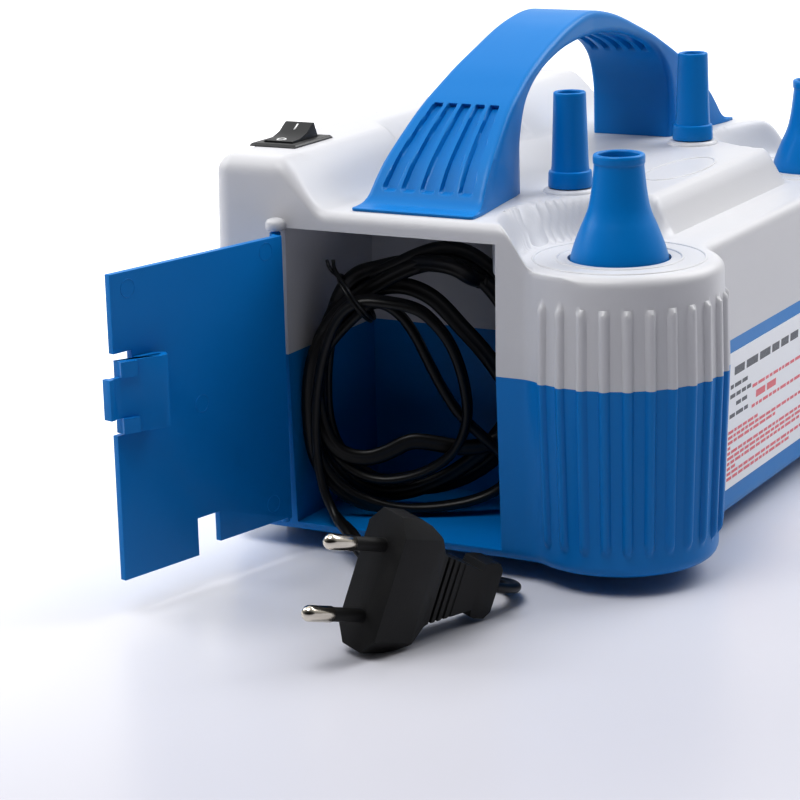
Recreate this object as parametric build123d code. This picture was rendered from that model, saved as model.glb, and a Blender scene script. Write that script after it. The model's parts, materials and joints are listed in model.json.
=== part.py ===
from build123d import *
import math
import os

# A mains-powered balloon pump: two motor towers under wide press-down nozzles, two slim nozzles
# on the raised deck, a carrying handle, and a cord compartment with a hinged door at the front.
# Everything is drawn from a datum at the lower right corner of the compartment's mouth: X runs
# along the front, Y goes back into the pump, Z is up from the surface it stands on. The finished
# pieces are then moved so that the origin is under the middle of the pump with its door open.
DATUM_X, DATUM_Y = 16.70, -63.53

# ---- driving dimensions (mm) ----
LEFT_X, RIGHT_X = -86.2, 40.4
FRONT_Y, REAR_Y = -0.4, 190.4
MID_Y = (FRONT_Y + REAR_Y) / 2
BASE_Z, SPLIT_Z, SHELF_Z, DECK_Z, RIDGE_Z = 5.2, 55.3, 84.0, 94.5, 107.7
WALL = 2.2
LOWER_DRAFT, UPPER_DRAFT = 2.0, 1.2
CORNER_R, NOOK_R = 7.0, 9.0

TOWER_X, TOWER_DY, TOWER_R = 24.5, 72.5, 27.4
TOWERS = {"front": MID_Y - TOWER_DY, "rear": MID_Y + TOWER_DY}
RIB_W, RIB_OUT, RIB_STEP, RIB_LOW, RIB_HIGH = 2.0, 0.9, 12.5, 14.0, 75.5

MOUTH_W, MOUTH_Z0, MOUTH_Z1, MOUTH_DEPTH = 62.0, 8.0, 89.6, 46.5
HANDLE_X, HANDLE_TOP, HANDLE_REACH = -26.5, 138.2, 90.0
SLIM_X, SLIM_DY = -3.0, 43.0
SLIM_YS = {"front": MID_Y - SLIM_DY, "rear": MID_Y + SLIM_DY}

NOZZLE_TOP, NOZZLE_PRESS, FLANGE_Z = 110.3, 3.0, 79.9
SHAFT_R, BEARING_R, RUNNING_GAP = 1.6, 4.0, 0.04
SPIGOT_R, SPIGOT_BORE, DUCT_R = 4.4, 2.6, 3.2
DOOR_ANGLE = 103.0
HINGE_X, HINGE_Y = -63.4, -2.6
DOOR_Z0, DOOR_Z1, DOOR_END, DOOR_T = 9.8, 88.8, -0.6, 1.8
LATCH_Z, LATCH_H = 57.8, 18.6
SWITCH_X, SWITCH_Y = -75.6, 27.5
GLAND_X, GLAND_Z, GLAND_TIP_Y = -20.0, 73.0, 30.0

# cord: a flat twin cord 4.6 x 2.8, drawn as a round tube as thick as the cord is thin
CORD_D = 2.8
COIL_X, COIL_Y, COIL_Z, COIL_TURN = -32.0, 19.8, 47.0, 12.0
COIL_A, COIL_B, COIL_DEEP, COIL_HOLE_A, COIL_HOLE_B = 28.0, 37.0, 16.0, 12.0, 19.0
PLUG_AT, PLUG_TURN, PLUG_LIFT, PLUG_ROLL, PLUG_LEN = (-3.0, -62.2, 18.95), 251.8, 16.1, -9.4, 40.4
CORD_ROUTE = [(-37.5, 10.4, 69.6), (-44.5, 7.6, 70.2), (-49.8, 5.9, 66.2), (-53.6, 4.8, 57.5),
              (-56.5, 4.3, 45.0), (-57.4, 4.1, 30.0), (-55.4, 4.0, 17.0), (-50.4, 2.6, 9.8),
              (-43.2, -3.0, 9.0), (-36.0, -8.2, 4.0), (-26.0, -9.6, 1.7), (-15.0, -9.0, 1.6),
              (-5.0, -7.2, 1.9), (6.6, -7.0, 2.4), (12.6, -17.0, 4.4)]

os.makedirs("parts", exist_ok=True)


def save(shape, node):
    """Moves a finished piece from the datum to the pump's own origin and writes it."""
    export_step(Pos(DATUM_X, DATUM_Y, 0) * shape, f"parts/{node}.step")


def ring(x, y, z0, z1, outer, inner=0.0):
    """An upright round post, or a ring when it has an inner radius."""
    post = Pos(x, y, (z0 + z1) / 2) * Cylinder(outer, z1 - z0)
    if inner:
        post -= Pos(x, y, (z0 + z1) / 2) * Cylinder(inner, z1 - z0 + 2)
    return post


def block(x0, x1, y0, y1, z0, z1):
    """A box given by its two corners."""
    return Pos((x0 + x1) / 2, (y0 + y1) / 2, (z0 + z1) / 2) * Box(x1 - x0, y1 - y0, z1 - z0)


def turned(points, x, y):
    """A piece turned about an upright axis from its (radius, height) outline."""
    outline = make_face(Plane.XZ * Polyline(*points, close=True))
    return Pos(x, y, 0) * revolve(outline, Axis.Z)


def mirrored(shape):
    """The same piece at the rear half of the pump."""
    return mirror(shape, Plane.XZ.offset(-MID_Y))


# ---- housing ----
def outline(inset):
    """Plan of the pump at the parting line: a rounded box with a round tower at two corners."""
    x0, x1, y0, y1 = LEFT_X + inset, RIGHT_X - inset, FRONT_Y + inset, REAR_Y - inset
    plan = Pos((x0 + x1) / 2, (y0 + y1) / 2) * Rectangle(x1 - x0, y1 - y0)
    plan = fillet(plan.vertices().sort_by(Axis.X)[:2], CORNER_R - inset)
    plan = fillet(plan.vertices().sort_by(Axis.X)[-2:], NOOK_R + 4)
    for tower_y in TOWERS.values():
        plan += Pos(TOWER_X, tower_y) * Circle(TOWER_R - inset)
    nooks = [v for v in plan.vertices() if v.X > 0 and v.X < 40.5 and
             min(abs(v.Y - FRONT_Y - inset), abs(v.Y - REAR_Y + inset), abs(v.X - RIGHT_X + inset)) < 0.01]
    return fillet(nooks, NOOK_R + inset)


def lower_form(inset):
    """The blue half as a solid; inset makes its inside."""
    plan = Pos(0, 0, SPLIT_Z) * outline(inset)
    return extrude(plan, -(SPLIT_Z - BASE_Z - inset), taper=LOWER_DRAFT)


def deck(inset):
    """The raised deck: a flat top that slopes down to the side shelf and round both towers."""
    foot_z, top_z = SHELF_Z - inset - 1, DECK_Z - inset
    slope = 6.0 / (DECK_Z - SHELF_Z)
    rise = top_z - foot_z
    foot_x = 27.0 - inset + slope * (1 + inset * 0.5)
    plan = Plane.XZ * Polygon((LEFT_X - 1, foot_z), (foot_x, foot_z), (foot_x - slope * rise, top_z),
                              (LEFT_X - 1, top_z), align=None)
    form = extrude(plan, -(REAR_Y - FRONT_Y + 2))
    form = Pos(0, FRONT_Y - 1, 0) * form
    for tower_y in TOWERS.values():
        low_r = 25.0 + inset * 0.6
        form -= Pos(TOWER_X, tower_y, foot_z + rise / 2) * Cone(low_r, low_r + 0.55 * rise, rise + 0.01)
    return form


def ridge(inset):
    """The side ridge over the wiring: full width at both ends, narrower at the handle."""
    def bar(top_x, foot_x, y0, y1):
        profile = Plane.XZ * Polygon((LEFT_X - 1, SHELF_Z), (foot_x, SHELF_Z), (foot_x, DECK_Z - inset),
                                     (top_x, RIDGE_Z - inset), (LEFT_X - 1, RIDGE_Z - inset), align=None)
        return Pos(0, y0, 0) * extrude(profile, -(y1 - y0))
    ends = bar(-64.5 - inset, -52.5 - inset, FRONT_Y - 1, 62 - inset)
    ends += bar(-64.5 - inset, -52.5 - inset, 128 + inset, REAR_Y + 1)
    return ends + bar(-71.0 - inset, -60.0 - inset, 30, 160)


def upper_form(inset):
    """The grey half as a solid; inset makes its inside."""
    plan = Pos(0, 0, SPLIT_Z) * outline(inset)
    shell = extrude(plan, RIDGE_Z + 5 - SPLIT_Z, taper=UPPER_DRAFT)
    slab = block(LEFT_X - 5, RIGHT_X + 20, FRONT_Y - 10, REAR_Y + 10, SPLIT_Z, SHELF_Z - inset)
    return shell & (slab + deck(inset) + ridge(inset))


def tower_ribs(z0, z1, draft_at):
    """Grip ribs round both towers between two heights, leaning with the draft of the wall."""
    ribs = []
    length = z1 - z0
    for turn in range(12):
        angle = -112 + turn * RIB_STEP
        middle_r = draft_at((z0 + z1) / 2)
        lean = math.degrees(math.atan2(draft_at(z1) - draft_at(z0), length))
        bar = Rot(0, 90, 0) * extrude(SlotOverall(length, RIB_W), RIB_OUT + 1.2)
        bar = Pos(middle_r - 1.2, 0, 0) * bar
        bar = Pos(0, 0, (z0 + z1) / 2) * bar
        bar = bar.rotate(Axis((middle_r, 0, (z0 + z1) / 2), (0, 1, 0)), lean)
        ribs.append(Pos(TOWER_X, TOWERS["front"], 0) * Rot(0, 0, angle) * bar)
    return ribs + [mirrored(rib) for rib in ribs]


def boss_places():
    """Screw posts that join the two halves, clear of the compartment and both motors."""
    return [(-77, 12), (-77, MID_Y), (-77, 178), (30, 68), (30, 122), (-22, 178)]


def compartment(z0, z1):
    """Walls of the cord compartment between two heights, before its inside is cut."""
    return block(-MOUTH_W - WALL, WALL, FRONT_Y + 3, MOUTH_DEPTH + WALL, z0, z1)


def mouth():
    """The space inside the cord compartment, open at the front, with a lower roof beside the tower."""
    space = block(-MOUTH_W, 0, FRONT_Y - 10, MOUTH_DEPTH, MOUTH_Z0, MOUTH_Z1)
    return space - ring(TOWER_X, TOWERS["front"], SHELF_Z - WALL - 0.8, MOUTH_Z1 + 1, TOWER_R + 5.1)


def lower_housing():
    shell = lower_form(0) - lower_form(WALL)
    inside = lower_form(0.5)
    shell += inside & compartment(BASE_Z + 0.5, SPLIT_Z)
    for x, y in boss_places():
        shell += ring(x, y, BASE_Z + 1, SPLIT_Z, 4.0) & lower_form(0)
    wall_r = lambda z: TOWER_R - (SPLIT_Z - z) * math.tan(math.radians(LOWER_DRAFT))
    for rib in tower_ribs(RIB_LOW, SPLIT_Z + 4, wall_r):
        shell += rib & block(-90, 60, -20, 210, 0, SPLIT_Z)
    shell -= mouth()
    for x, y in boss_places():
        shell -= ring(x, y, BASE_Z - 1, SPLIT_Z + 1, 1.7)
        shell -= ring(x, y, BASE_Z - 1, BASE_Z + 9, 3.1)
    for tower_y in TOWERS.values():
        for row in range(-3, 4):
            half = math.sqrt(17.0 ** 2 - (row * 5.0) ** 2)
            shell -= block(TOWER_X - half, TOWER_X + half, tower_y + row * 5 - 1.1,
                           tower_y + row * 5 + 1.1, 0, BASE_Z + WALL + 0.5)
        for z in (20.0, 33.0):
            seat = ring(TOWER_X, tower_y, z, z + 5, 25.5, 22.3) & lower_form(0.5)
            shell += seat - mouth()
    for x, y in foot_places():
        shell -= ring(x, y, BASE_Z - 1, BASE_Z + 1.2, 6.6)
        shell -= ring(x, y, BASE_Z - 1, BASE_Z + 4, 1.9)
    return hinge_ear(shell, MOUTH_Z0 - 0.4, MOUTH_Z0 + 3.0, MOUTH_Z0 + 0.8, MOUTH_Z0 + 4) - latch_pocket()


def hinge_ear(shell, z0, z1, hole_z0, hole_z1):
    """Adds a round ear with a blind hole for one of the door's hinge pins."""
    shell += ring(HINGE_X, HINGE_Y, z0, z1, 3.0)
    shell += block(HINGE_X - 3.0, HINGE_X + 1.4, HINGE_Y, FRONT_Y + 2.6, z0, z1)
    return shell - ring(HINGE_X, HINGE_Y, hole_z0, hole_z1, 1.25)


def latch_pocket():
    """Slot behind the front wall that the door latch's lip snaps into."""
    return block(-0.5, 4.4, 0.9, 4.6, LATCH_Z - 7, LATCH_Z + 7)


def upper_housing():
    outer = upper_form(0)
    shell = outer - upper_form(WALL)
    shell += (upper_form(0.4) & compartment(SPLIT_Z, DECK_Z - 0.5))
    for x, y in boss_places():
        shell += ring(x, y, SPLIT_Z, RIDGE_Z, 4.0) & upper_form(0.5)
    wall_r = lambda z: TOWER_R - (z - SPLIT_Z) * math.tan(math.radians(UPPER_DRAFT))
    for rib in tower_ribs(SPLIT_Z - 4, RIB_HIGH, wall_r):
        shell += rib & block(-90, 60, -20, 210, SPLIT_Z, 120)
    shell -= mouth()
    for x, y in boss_places():
        shell -= ring(x, y, SPLIT_Z - 1, SPLIT_Z + 14, 1.25)
    for tower_y in TOWERS.values():
        shell -= ring(TOWER_X, tower_y, SHELF_Z - 5, SHELF_Z + 2, 13.35)
    for slim_y in SLIM_YS.values():
        shell += ring(SLIM_X, slim_y, DECK_Z - 5, DECK_Z + 6, SPIGOT_R)
        shell += ring(SLIM_X, slim_y, DECK_Z - 1, DECK_Z + 0.6, 5.7)
        shell -= ring(SLIM_X, slim_y, DECK_Z - 6, DECK_Z + 7, SPIGOT_BORE)
    shell -= block(SWITCH_X - 6.3, SWITCH_X + 6.3, SWITCH_Y - 9.3, SWITCH_Y + 9.3, 95, 112)
    for x, y in handle_screw_places():
        shell -= ring(x, y, DECK_Z - 9, DECK_Z + 2, 1.8)
        shell -= ring(x, y, DECK_Z - 9, DECK_Z - WALL, 3.6)
    shell -= Pos(GLAND_X, MOUTH_DEPTH, GLAND_Z) * Rot(90, 0, 0) * Cylinder(3.45, 8)
    return hinge_ear(shell, MOUTH_Z1 - 0.4, MOUTH_Z1 + 4.0, MOUTH_Z1 - 2, MOUTH_Z1 + 2.2) - latch_pocket()


def foot_places():
    return [(-72, 24), (-72, 166), (-4, 64), (-4, 126)]


def handle_screw_places():
    return [(HANDLE_X + sx * 8, MID_Y + sy * 66) for sx in (-1, 1) for sy in (-1, 1)]


# ---- handle ----
def handle_arch(shrink):
    """Side view of the handle's outer curve: an ellipse that runs down into a flat foot."""
    half_w, height = 93.0 - shrink, 80.4 - shrink
    base = HANDLE_TOP - 80.4
    angles = [math.radians(a) for a in range(0, 181, 6)]
    curve = [(MID_Y + half_w * math.cos(a), base + height * math.sin(a)) for a in angles]
    arc = Spline(*curve)
    face = make_face(arc + Line(curve[-1], curve[0]))
    solid = extrude(Plane.YZ * face, 120)
    return Pos(-90, 0, 0) * solid


def handle_width():
    """Top view of the handle: widest at the feet, slimmest where the hand goes."""
    reach = [(90.0, 18.0), (84.0, 17.4), (58.0, 13.6), (46.0, 12.6), (0.0, 11.4)]
    right = [(HANDLE_X + w, MID_Y + d) for d, w in reach] + [(HANDLE_X + w, MID_Y - d) for d, w in reach[::-1][1:]]
    left = [(HANDLE_X - w, MID_Y - d) for d, w in reach] + [(HANDLE_X - w, MID_Y + d) for d, w in reach[::-1][1:]]
    return extrude(make_face(Polyline(*right, *left, close=True)), 160)


def handle_gap():
    """The hand opening under the arch: upright legs and an elliptical crown."""
    half, spring, crown = 51.0, 108.0, 131.0
    legs = block(-80, 30, MID_Y - half, MID_Y + half, DECK_Z - 5, spring)
    crown_arc = [(MID_Y + half * math.cos(math.radians(a)), spring + (crown - spring) * math.sin(math.radians(a)))
                 for a in range(0, 181, 10)]
    face = make_face(Spline(*crown_arc) + Line(crown_arc[-1], crown_arc[0]))
    return legs + Pos(-80, 0, 0) * extrude(Plane.YZ * face, 110)


def handle():
    body = handle_arch(0) + foot_flare(1) + foot_flare(-1)
    body &= handle_width() & block(-80, 30, -50, 250, DECK_Z, 150)
    body -= handle_gap()
    for side in (-1, 1):
        body -= handle_slots(side) - handle_arch(0.9)
    grooves = []
    for row in range(-2, 3):
        x = HANDLE_X + row * 4.0
        grooves.append(block(x - 0.9, x + 0.9, MID_Y - 38, MID_Y + 38, 112, 134.2))
    for groove in grooves:
        body -= groove & (handle_arch(3.0))
    for x, y in handle_screw_places():
        body -= ring(x, y, DECK_Z - 2, DECK_Z + 9, 1.25)
    return body


def foot_flare(side):
    """Thin flange that sweeps out from the outer face of one foot."""
    d = [(70.0, DECK_Z - 1), (70.0, DECK_Z + 9), (77.8, DECK_Z + 9), (81.6, DECK_Z + 3.6), (84.0, DECK_Z + 1.6),
         (87.0, DECK_Z + 1.0), (HANDLE_REACH, DECK_Z + 0.9), (HANDLE_REACH, DECK_Z - 1)]
    face = make_face(Plane.YZ * Polyline(*[(MID_Y + side * q, z) for q, z in d], close=True))
    return Pos(-80, 0, 0) * extrude(face, 110, dir=(1, 0, 0))


def handle_slots(side):
    """Five tapering slots on the outer face of one foot."""
    slots = None
    low_d, high_d = 80.5, 58.0
    for row in range(5):
        low = (row - 2) * 5.5
        high = (row - 2) * 4.1
        slot = Polygon((HANDLE_X + low - 2.2, low_d), (HANDLE_X + low + 2.2, low_d),
                       (HANDLE_X + high + 1.6, high_d), (HANDLE_X + high - 1.6, high_d), align=None)
        solid = extrude(slot, 160)
        slots = solid if slots is None else slots + solid
    if side > 0:
        return Pos(0, MID_Y, 0) * slots
    return Pos(0, MID_Y, 0) * mirror(slots, Plane.XZ)


# ---- fasteners, feet, label ----
def screws(places, head_z, shank_top, head_r, shank_r, head_h):
    """Round-headed screws driven upwards from below, as separate solids."""
    group = []
    for x, y in places:
        screw = ring(x, y, head_z, head_z + head_h, head_r) + ring(x, y, head_z + head_h - 0.1, shank_top, shank_r)
        screw -= block(x - head_r, x + head_r, y - 0.4, y + 0.4, head_z - 1, head_z + 0.8)
        screw -= block(x - 0.4, x + 0.4, y - head_r, y + head_r, head_z - 1, head_z + 0.8)
        group.append(screw)
    return Compound(children=group)


def rubber_feet():
    feet = []
    for x, y in foot_places():
        foot = turned([(0, 0), (5.9, 0), (6.5, 0.8), (6.5, BASE_Z + 1.1), (1.85, BASE_Z + 1.1),
                       (1.85, BASE_Z + 3.8), (0, BASE_Z + 3.8)], x, y)
        feet.append(foot)
    return Compound(children=feet)


def rating_label():
    """A thin plate stuck on the leaning side wall of the blue half."""
    low, high, y0, y1 = 13.0, 51.5, 58.0, 132.0
    lean = math.tan(math.radians(LOWER_DRAFT))
    at = lambda z: RIGHT_X - (SPLIT_Z - z) * lean
    face = Plane.XZ * Polygon((at(low), low), (at(low) + 0.3, low), (at(high) + 0.3, high), (at(high), high),
                              align=None)
    return Pos(0, y0, 0) * extrude(face, -(y1 - y0))


# ---- switch ----
def switch_case():
    """Snap-in rocker switch: a bezel on the ridge and a case under it."""
    x, y, z = SWITCH_X, SWITCH_Y, RIDGE_Z
    bezel = block(x - 7.5, x + 7.5, y - 10.5, y + 10.5, z + 0.02, z + 1.6)
    case = block(x - 6.2, x + 6.2, y - 9.2, y + 9.2, z - 12, z + 0.1)
    return bezel + case - block(x - 5.0, x + 5.0, y - 8.0, y + 8.0, z - 9.5, z + 3)


def switch_rocker():
    """The rocker in its off position: the front end down, the rear end up."""
    x, y, z = SWITCH_X, SWITCH_Y, RIDGE_Z
    profile = Plane.YZ * Polyline((y - 7.4, z + 1.3), (y - 3.0, z + 1.5), (y + 1.0, z + 2.6), (y + 4.6, z + 4.8),
                                  (y + 5.4, z + 4.8), (y + 7.2, z + 1.0), (y + 3.0, z - 3.0), (y - 3.0, z - 3.0),
                                  (y - 7.0, z - 1.0), close=True)
    body = Pos(x - 4.6, 0, 0) * extrude(make_face(profile), 9.2, dir=(1, 0, 0))
    pivot = Pos(x, y, z - 0.6) * Rot(0, 90, 0) * Cylinder(1.2, 9.9)
    return body + pivot


def switch_terminals():
    x, y, z = SWITCH_X, SWITCH_Y, RIDGE_Z
    tabs = [block(x - 2.4, x + 2.4, y + dy - 0.4, y + dy + 0.4, z - 21, z - 12) for dy in (-5, 5)]
    return Compound(children=tabs)


# ---- door ----
def swing(shape):
    """Turns the closed door about its hinge to where it stands at rest."""
    return shape.rotate(Axis((HINGE_X, HINGE_Y, 0), (0, 0, 1)), -DOOR_ANGLE)


def compartment_door():
    """Blue inset door, drawn closed with its outer face flush with the front, then swung open."""
    start = -MOUTH_W + 0.6
    leaf = block(start, DOOR_END, 0.0, DOOR_T, DOOR_Z0, DOOR_Z1)
    leaf -= block(start - 1, -34.5, -1, 3, DOOR_Z0 - 1, DOOR_Z0 + 1.9)
    leaf -= block(-34.5, -26.6, -1, 3, DOOR_Z0 - 1, DOOR_Z0 + 10.0)
    leaf -= block(DOOR_END - 6.0, DOOR_END + 1, -1, 3, LATCH_Z - LATCH_H / 2 - 0.8, LATCH_Z + LATCH_H / 2 + 1.6)
    low, high = MOUTH_Z0 + 3.4, DOOR_Z1
    barrel = ring(HINGE_X, HINGE_Y, low, high, 1.5)
    web = make_face(Polyline((HINGE_X + 0.1, HINGE_Y - 1.4), (start + 1.6, 0.0), (start + 1.6, DOOR_T),
                             (start, DOOR_T), (start, -0.4), (-MOUTH_W, -1.3), (HINGE_X, HINGE_Y + 1.3), close=True))
    web = Pos(0, 0, low) * extrude(web, high - low, dir=(0, 0, 1))
    pins = ring(HINGE_X, HINGE_Y, low - 2.3, high + 2.6, 1.19)
    return swing(leaf + barrel + web + pins)


def door_latch():
    """Springy U moulded on the door: a leg from the notch, a round bend, a leg back through it, a lip."""
    root = DOOR_END - 6.0
    outer = Polyline((root - 0.3, 2.0), (root - 6.4, 2.8), (root - 8.6, 5.0), (root - 7.0, 7.4), (root - 4.8, 7.2),
                     (DOOR_END - 0.4, 3.4), (DOOR_END - 0.4, 2.0), (root - 5.2, 5.9), (root - 7.1, 5.2),
                     (root - 5.6, 4.1), (root - 0.3, 3.2), close=True)
    low, high = LATCH_Z - LATCH_H / 2, LATCH_Z + LATCH_H / 2
    strip = Pos(0, 0, low) * extrude(make_face(outer), LATCH_H, dir=(0, 0, 1))
    pad = make_face(Polyline((root - 1.0, 4.2), (DOOR_END - 0.4, 2.1), (DOOR_END - 0.4, 1.1), (root - 1.0, 3.2),
                             close=True))
    strip += Pos(0, 0, low) * extrude(pad, 4.4, dir=(0, 0, 1))
    strip += Pos(0, 0, high - 4.4) * extrude(pad, 4.4, dir=(0, 0, 1))
    strip += block(DOOR_END - 0.6, DOOR_END + 3.6, 1.9, 3.4, LATCH_Z - 5.2, LATCH_Z + 5.2)
    strip += block(DOOR_END + 2.2, DOOR_END + 3.6, 1.2, 3.9, LATCH_Z - 5.2, LATCH_Z + 5.2)
    return swing(strip)


# ---- nozzles ----
def wide_nozzle(name):
    """Flared press-down nozzle with a hidden flange that keeps it in the tower."""
    x, y, flange = TOWER_X, TOWERS[name], FLANGE_Z
    return turned([(5.4, NOZZLE_TOP), (6.3, NOZZLE_TOP), (7.0, NOZZLE_TOP - 1.0), (7.1, 104.0), (8.0, 98.2),
                   (9.2, 94.8), (10.6, 91.6), (12.0, 87.8), (12.7, 84.6), (12.8, flange + 1.5),
                   (15.6, flange + 1.5), (15.6, flange), (11.4, flange), (11.2, 84.0), (9.2, 91.2), (7.8, 94.6),
                   (6.6, 98.0), (5.6, 104.0)], x, y) + switch_finger(name)


def switch_finger(name):
    """Finger under the flange that works the switch button when the nozzle is pressed."""
    x, y = TOWER_X - 18.2, TOWERS[name]
    arm = block(x - 1.6, x + 4.5, y - 2, y + 2, FLANGE_Z, FLANGE_Z + 1.5)
    return arm + block(x - 1.6, x + 1.0, y - 2, y + 2, FLANGE_Z - 3.0, FLANGE_Z + 0.1)


def nozzle_spring(name):
    """Return spring round the fan outlet, closed at both ends against flat seats."""
    wire, mean, low, high = 0.55, 13.2, 63.6, FLANGE_Z
    coil_h = high - low - 2 * wire
    helix = Helix(pitch=coil_h / 4.0, height=coil_h, radius=mean)
    spring = sweep(Plane(origin=helix @ 0, z_dir=helix % 0) * Circle(wire), path=helix)
    return Pos(TOWER_X, TOWERS[name], low + wire) * spring


def slim_nozzle(name):
    """Slim pull-off nozzle that sockets over a spigot on the deck."""
    z = DECK_Z + 1.2
    return turned([(3.3, 121.6), (4.1, 121.6), (4.7, 121.0), (5.35, z + 5.6), (6.0, z + 5.2), (6.3, z),
                   (4.48, z), (4.48, DECK_Z + 6.4), (3.4, DECK_Z + 7.4)], SLIM_X, SLIM_YS[name])


# ---- motors: one upright motor and fan in each tower ----
def motor(name):
    """All pieces of one motor and its fan, by node name."""
    x, y = TOWER_X, TOWERS[name]
    parts = {}
    field = ring(x, y, 19, 39, 17.9, 9.6)
    field -= block(x - 4, x + 4, y - 13.5, y + 13.5, 18, 40) - ring(x, y, 17, 41, 9.7)
    parts["motor_field"] = field
    parts["field_coils"] = Compound(children=[ring(x, y, 14.2, 18.9, 16.4, 10.6), ring(x, y, 39.1, 43.6, 16.4, 10.6)])
    low = turned([(4.05, 9.6), (17.9, 9.6), (17.9, 18.9), (16.7, 18.9), (16.7, 11.2), (5.4, 11.2), (5.4, 13.0),
                  (4.05, 13.0)], x, y)
    high = turned([(4.05, 47.2), (17.9, 47.2), (17.9, 39.1), (16.7, 39.1), (16.7, 45.6), (5.4, 45.6), (5.4, 44.0),
                   (4.05, 44.0)], x, y)
    windows = [Pos(x, y, 0) * Rot(0, 0, a) * block(7.5, 14.5, -3.5, 3.5, 8, 50) for a in (45, 135, 225, 315)]
    for window in windows:
        low -= window & ring(x, y, 9, 12, 18.5)
        high -= window & ring(x, y, 45, 48, 18.5)
    parts["motor_lower_frame"] = low
    parts["motor_upper_frame"] = high
    bearing = [ring(x, y, z, z + 3.0, BEARING_R, SHAFT_R + RUNNING_GAP) for z in (9.8, 44.1)]
    parts["motor_bearings"] = Compound(children=bearing)
    brush = [block(x + s * 7.75 - 2.6, x + s * 7.75 + 2.6, y - 1.6, y + 1.6, 14.3, 17.3) for s in (-1, 1)]
    parts["carbon_brushes"] = Compound(children=brush)
    parts["motor_mounts"] = Compound(children=[mount_ring(x, y, 20.5, 24.5), mount_ring(x, y, 33.5, 37.5)])
    cover = turned([(9.0, 48.0), (20.3, 48.0), (20.3, 49.5), (9.0, 49.5)], x, y)
    parts["fan_cover"] = cover + mount_feet(x, y)
    house = turned([(20.4, 48.0), (21.8, 48.0), (21.8, 63.5), (11.9, 63.5), (11.9, 66.5), (10.9, 79.0), (9.6, 79.0),
                    (9.6, 62.0), (20.4, 62.0)], x, y)
    parts["fan_housing"] = house
    shaft = ring(x, y, 8.6, 59.5, SHAFT_R)
    parts["rotor_shaft"] = shaft
    slots = ring(x, y, 19.2, 38.8, 9.1, SHAFT_R)
    for a in range(0, 360, 30):
        slots -= Pos(x, y, 29) * Rot(0, 0, a) * Pos(9, 0, 0) * Box(2.4, 0.8, 21)
    parts["armature"] = slots
    parts["armature_winding"] = Compound(children=[ring(x, y, 38.8, 41.8, 8.0, 2.6), ring(x, y, 17.6, 19.2, 8.0, 5.2)])
    parts["commutator"] = ring(x, y, 14.0, 17.5, 5.0, SHAFT_R)
    parts["fan_impeller"] = impeller(x, y)
    switch = block(x - 21.6, x - 14.4, y - 5.2, y + 5.2, 63.6, 71.0)
    parts["nozzle_switch"] = switch - ring(x - 18.4, y, 66.0, 72.0, 1.35)
    parts["switch_button"] = ring(x - 18.4, y, 70.2, FLANGE_Z - 3.0, 1.2)
    return parts


def mount_ring(x, y, z0, z1):
    """Rubber ring between motor and tower, with air passages through it."""
    mount = ring(x, y, z0, z1, 22.2, 18.0)
    for a in range(0, 360, 45):
        mount -= Pos(x, y, (z0 + z1) / 2) * Rot(0, 0, a) * Pos(20.4, 0, 0) * Cylinder(1.5, z1 - z0 + 2)
    return mount


def mount_feet(x, y):
    """Three short pillars that stand the fan cover on the motor's upper frame."""
    feet = None
    for a in (0, 120, 240):
        foot = Pos(x, y, 0) * Rot(0, 0, a) * ring(16.0, 0, 47.25, 48.4, 1.4)
        feet = foot if feet is None else feet + foot
    return feet


def impeller(x, y):
    """Closed fan wheel: hub, back plate, nine swept blades and a front ring round the eye."""
    wheel = ring(x, y, 51.2, 59.0, 3.4, SHAFT_R) + ring(x, y, 57.8, 59.0, 19.3, 3.0)
    wheel += ring(x, y, 51.2, 52.2, 19.3, 9.5)
    for a in range(0, 360, 40):
        blade = Rot(0, 0, a) * Pos(12.0, 0, 55.0) * Rot(0, 0, 38) * Box(14.0, 1.0, 5.8)
        wheel += Pos(x, y, 0) * (blade & ring(0, 0, 51.5, 58.5, 19.1, 4.0))
    return wheel


def air_duct():
    """Soft hose from the fan housing to the slim nozzle's spigot."""
    y = TOWERS["front"]
    points = [(21.0, y + 22.0, 56.0), (19.5, y + 31.0, 56.0), (8.0, y + 44.0, 62.0), (SLIM_X, y + 38.0, 73.0),
              (SLIM_X, SLIM_YS["front"], 83.0), (SLIM_X, SLIM_YS["front"], DECK_Z - 5)]
    path = FilletPolyline(*points, radius=route_radii(points))
    start = Plane(origin=path @ 0, z_dir=path % 0)
    return sweep(start * Circle(DUCT_R), path=path) - sweep(start * Circle(DUCT_R - 0.8), path=path)


def route_radii(points):
    """Bend radius at each inner point of a route: as large as its two runs allow."""
    radii = []
    for before, here, after in zip(points, points[1:], points[2:]):
        into, out = Vector(here) - Vector(before), Vector(after) - Vector(here)
        half_turn = math.radians(into.get_angle(out) / 2)
        radii.append(0.45 * min(into.length, out.length) / math.tan(half_turn))
    return radii


# ---- cord ----
def cord_gland():
    """Grommet where the cord comes through the compartment's back wall."""
    sleeve = MOUTH_DEPTH - GLAND_TIP_Y
    taper = Pos(GLAND_X, MOUTH_DEPTH - sleeve / 2, GLAND_Z) * Rot(90, 0, 0) * Cone(4.4, 2.4, sleeve)
    through = Pos(GLAND_X, MOUTH_DEPTH + WALL / 2, GLAND_Z) * Rot(90, 0, 0) * Cylinder(3.4, WALL + 2)
    return taper + through


def coil_frame():
    """Axes of the coil: it stands in the compartment with its left side turned to the front."""
    return Pos(COIL_X, COIL_Y, COIL_Z) * Rot(0, 0, COIL_TURN)


def cord_coil():
    """Outer shape of the tied loops that stand in the compartment."""
    loops = Plane.XZ * (Ellipse(COIL_A, COIL_B) - Ellipse(COIL_HOLE_A, COIL_HOLE_B))
    return coil_frame() * extrude(loops, COIL_DEEP / 2, both=True)


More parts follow.
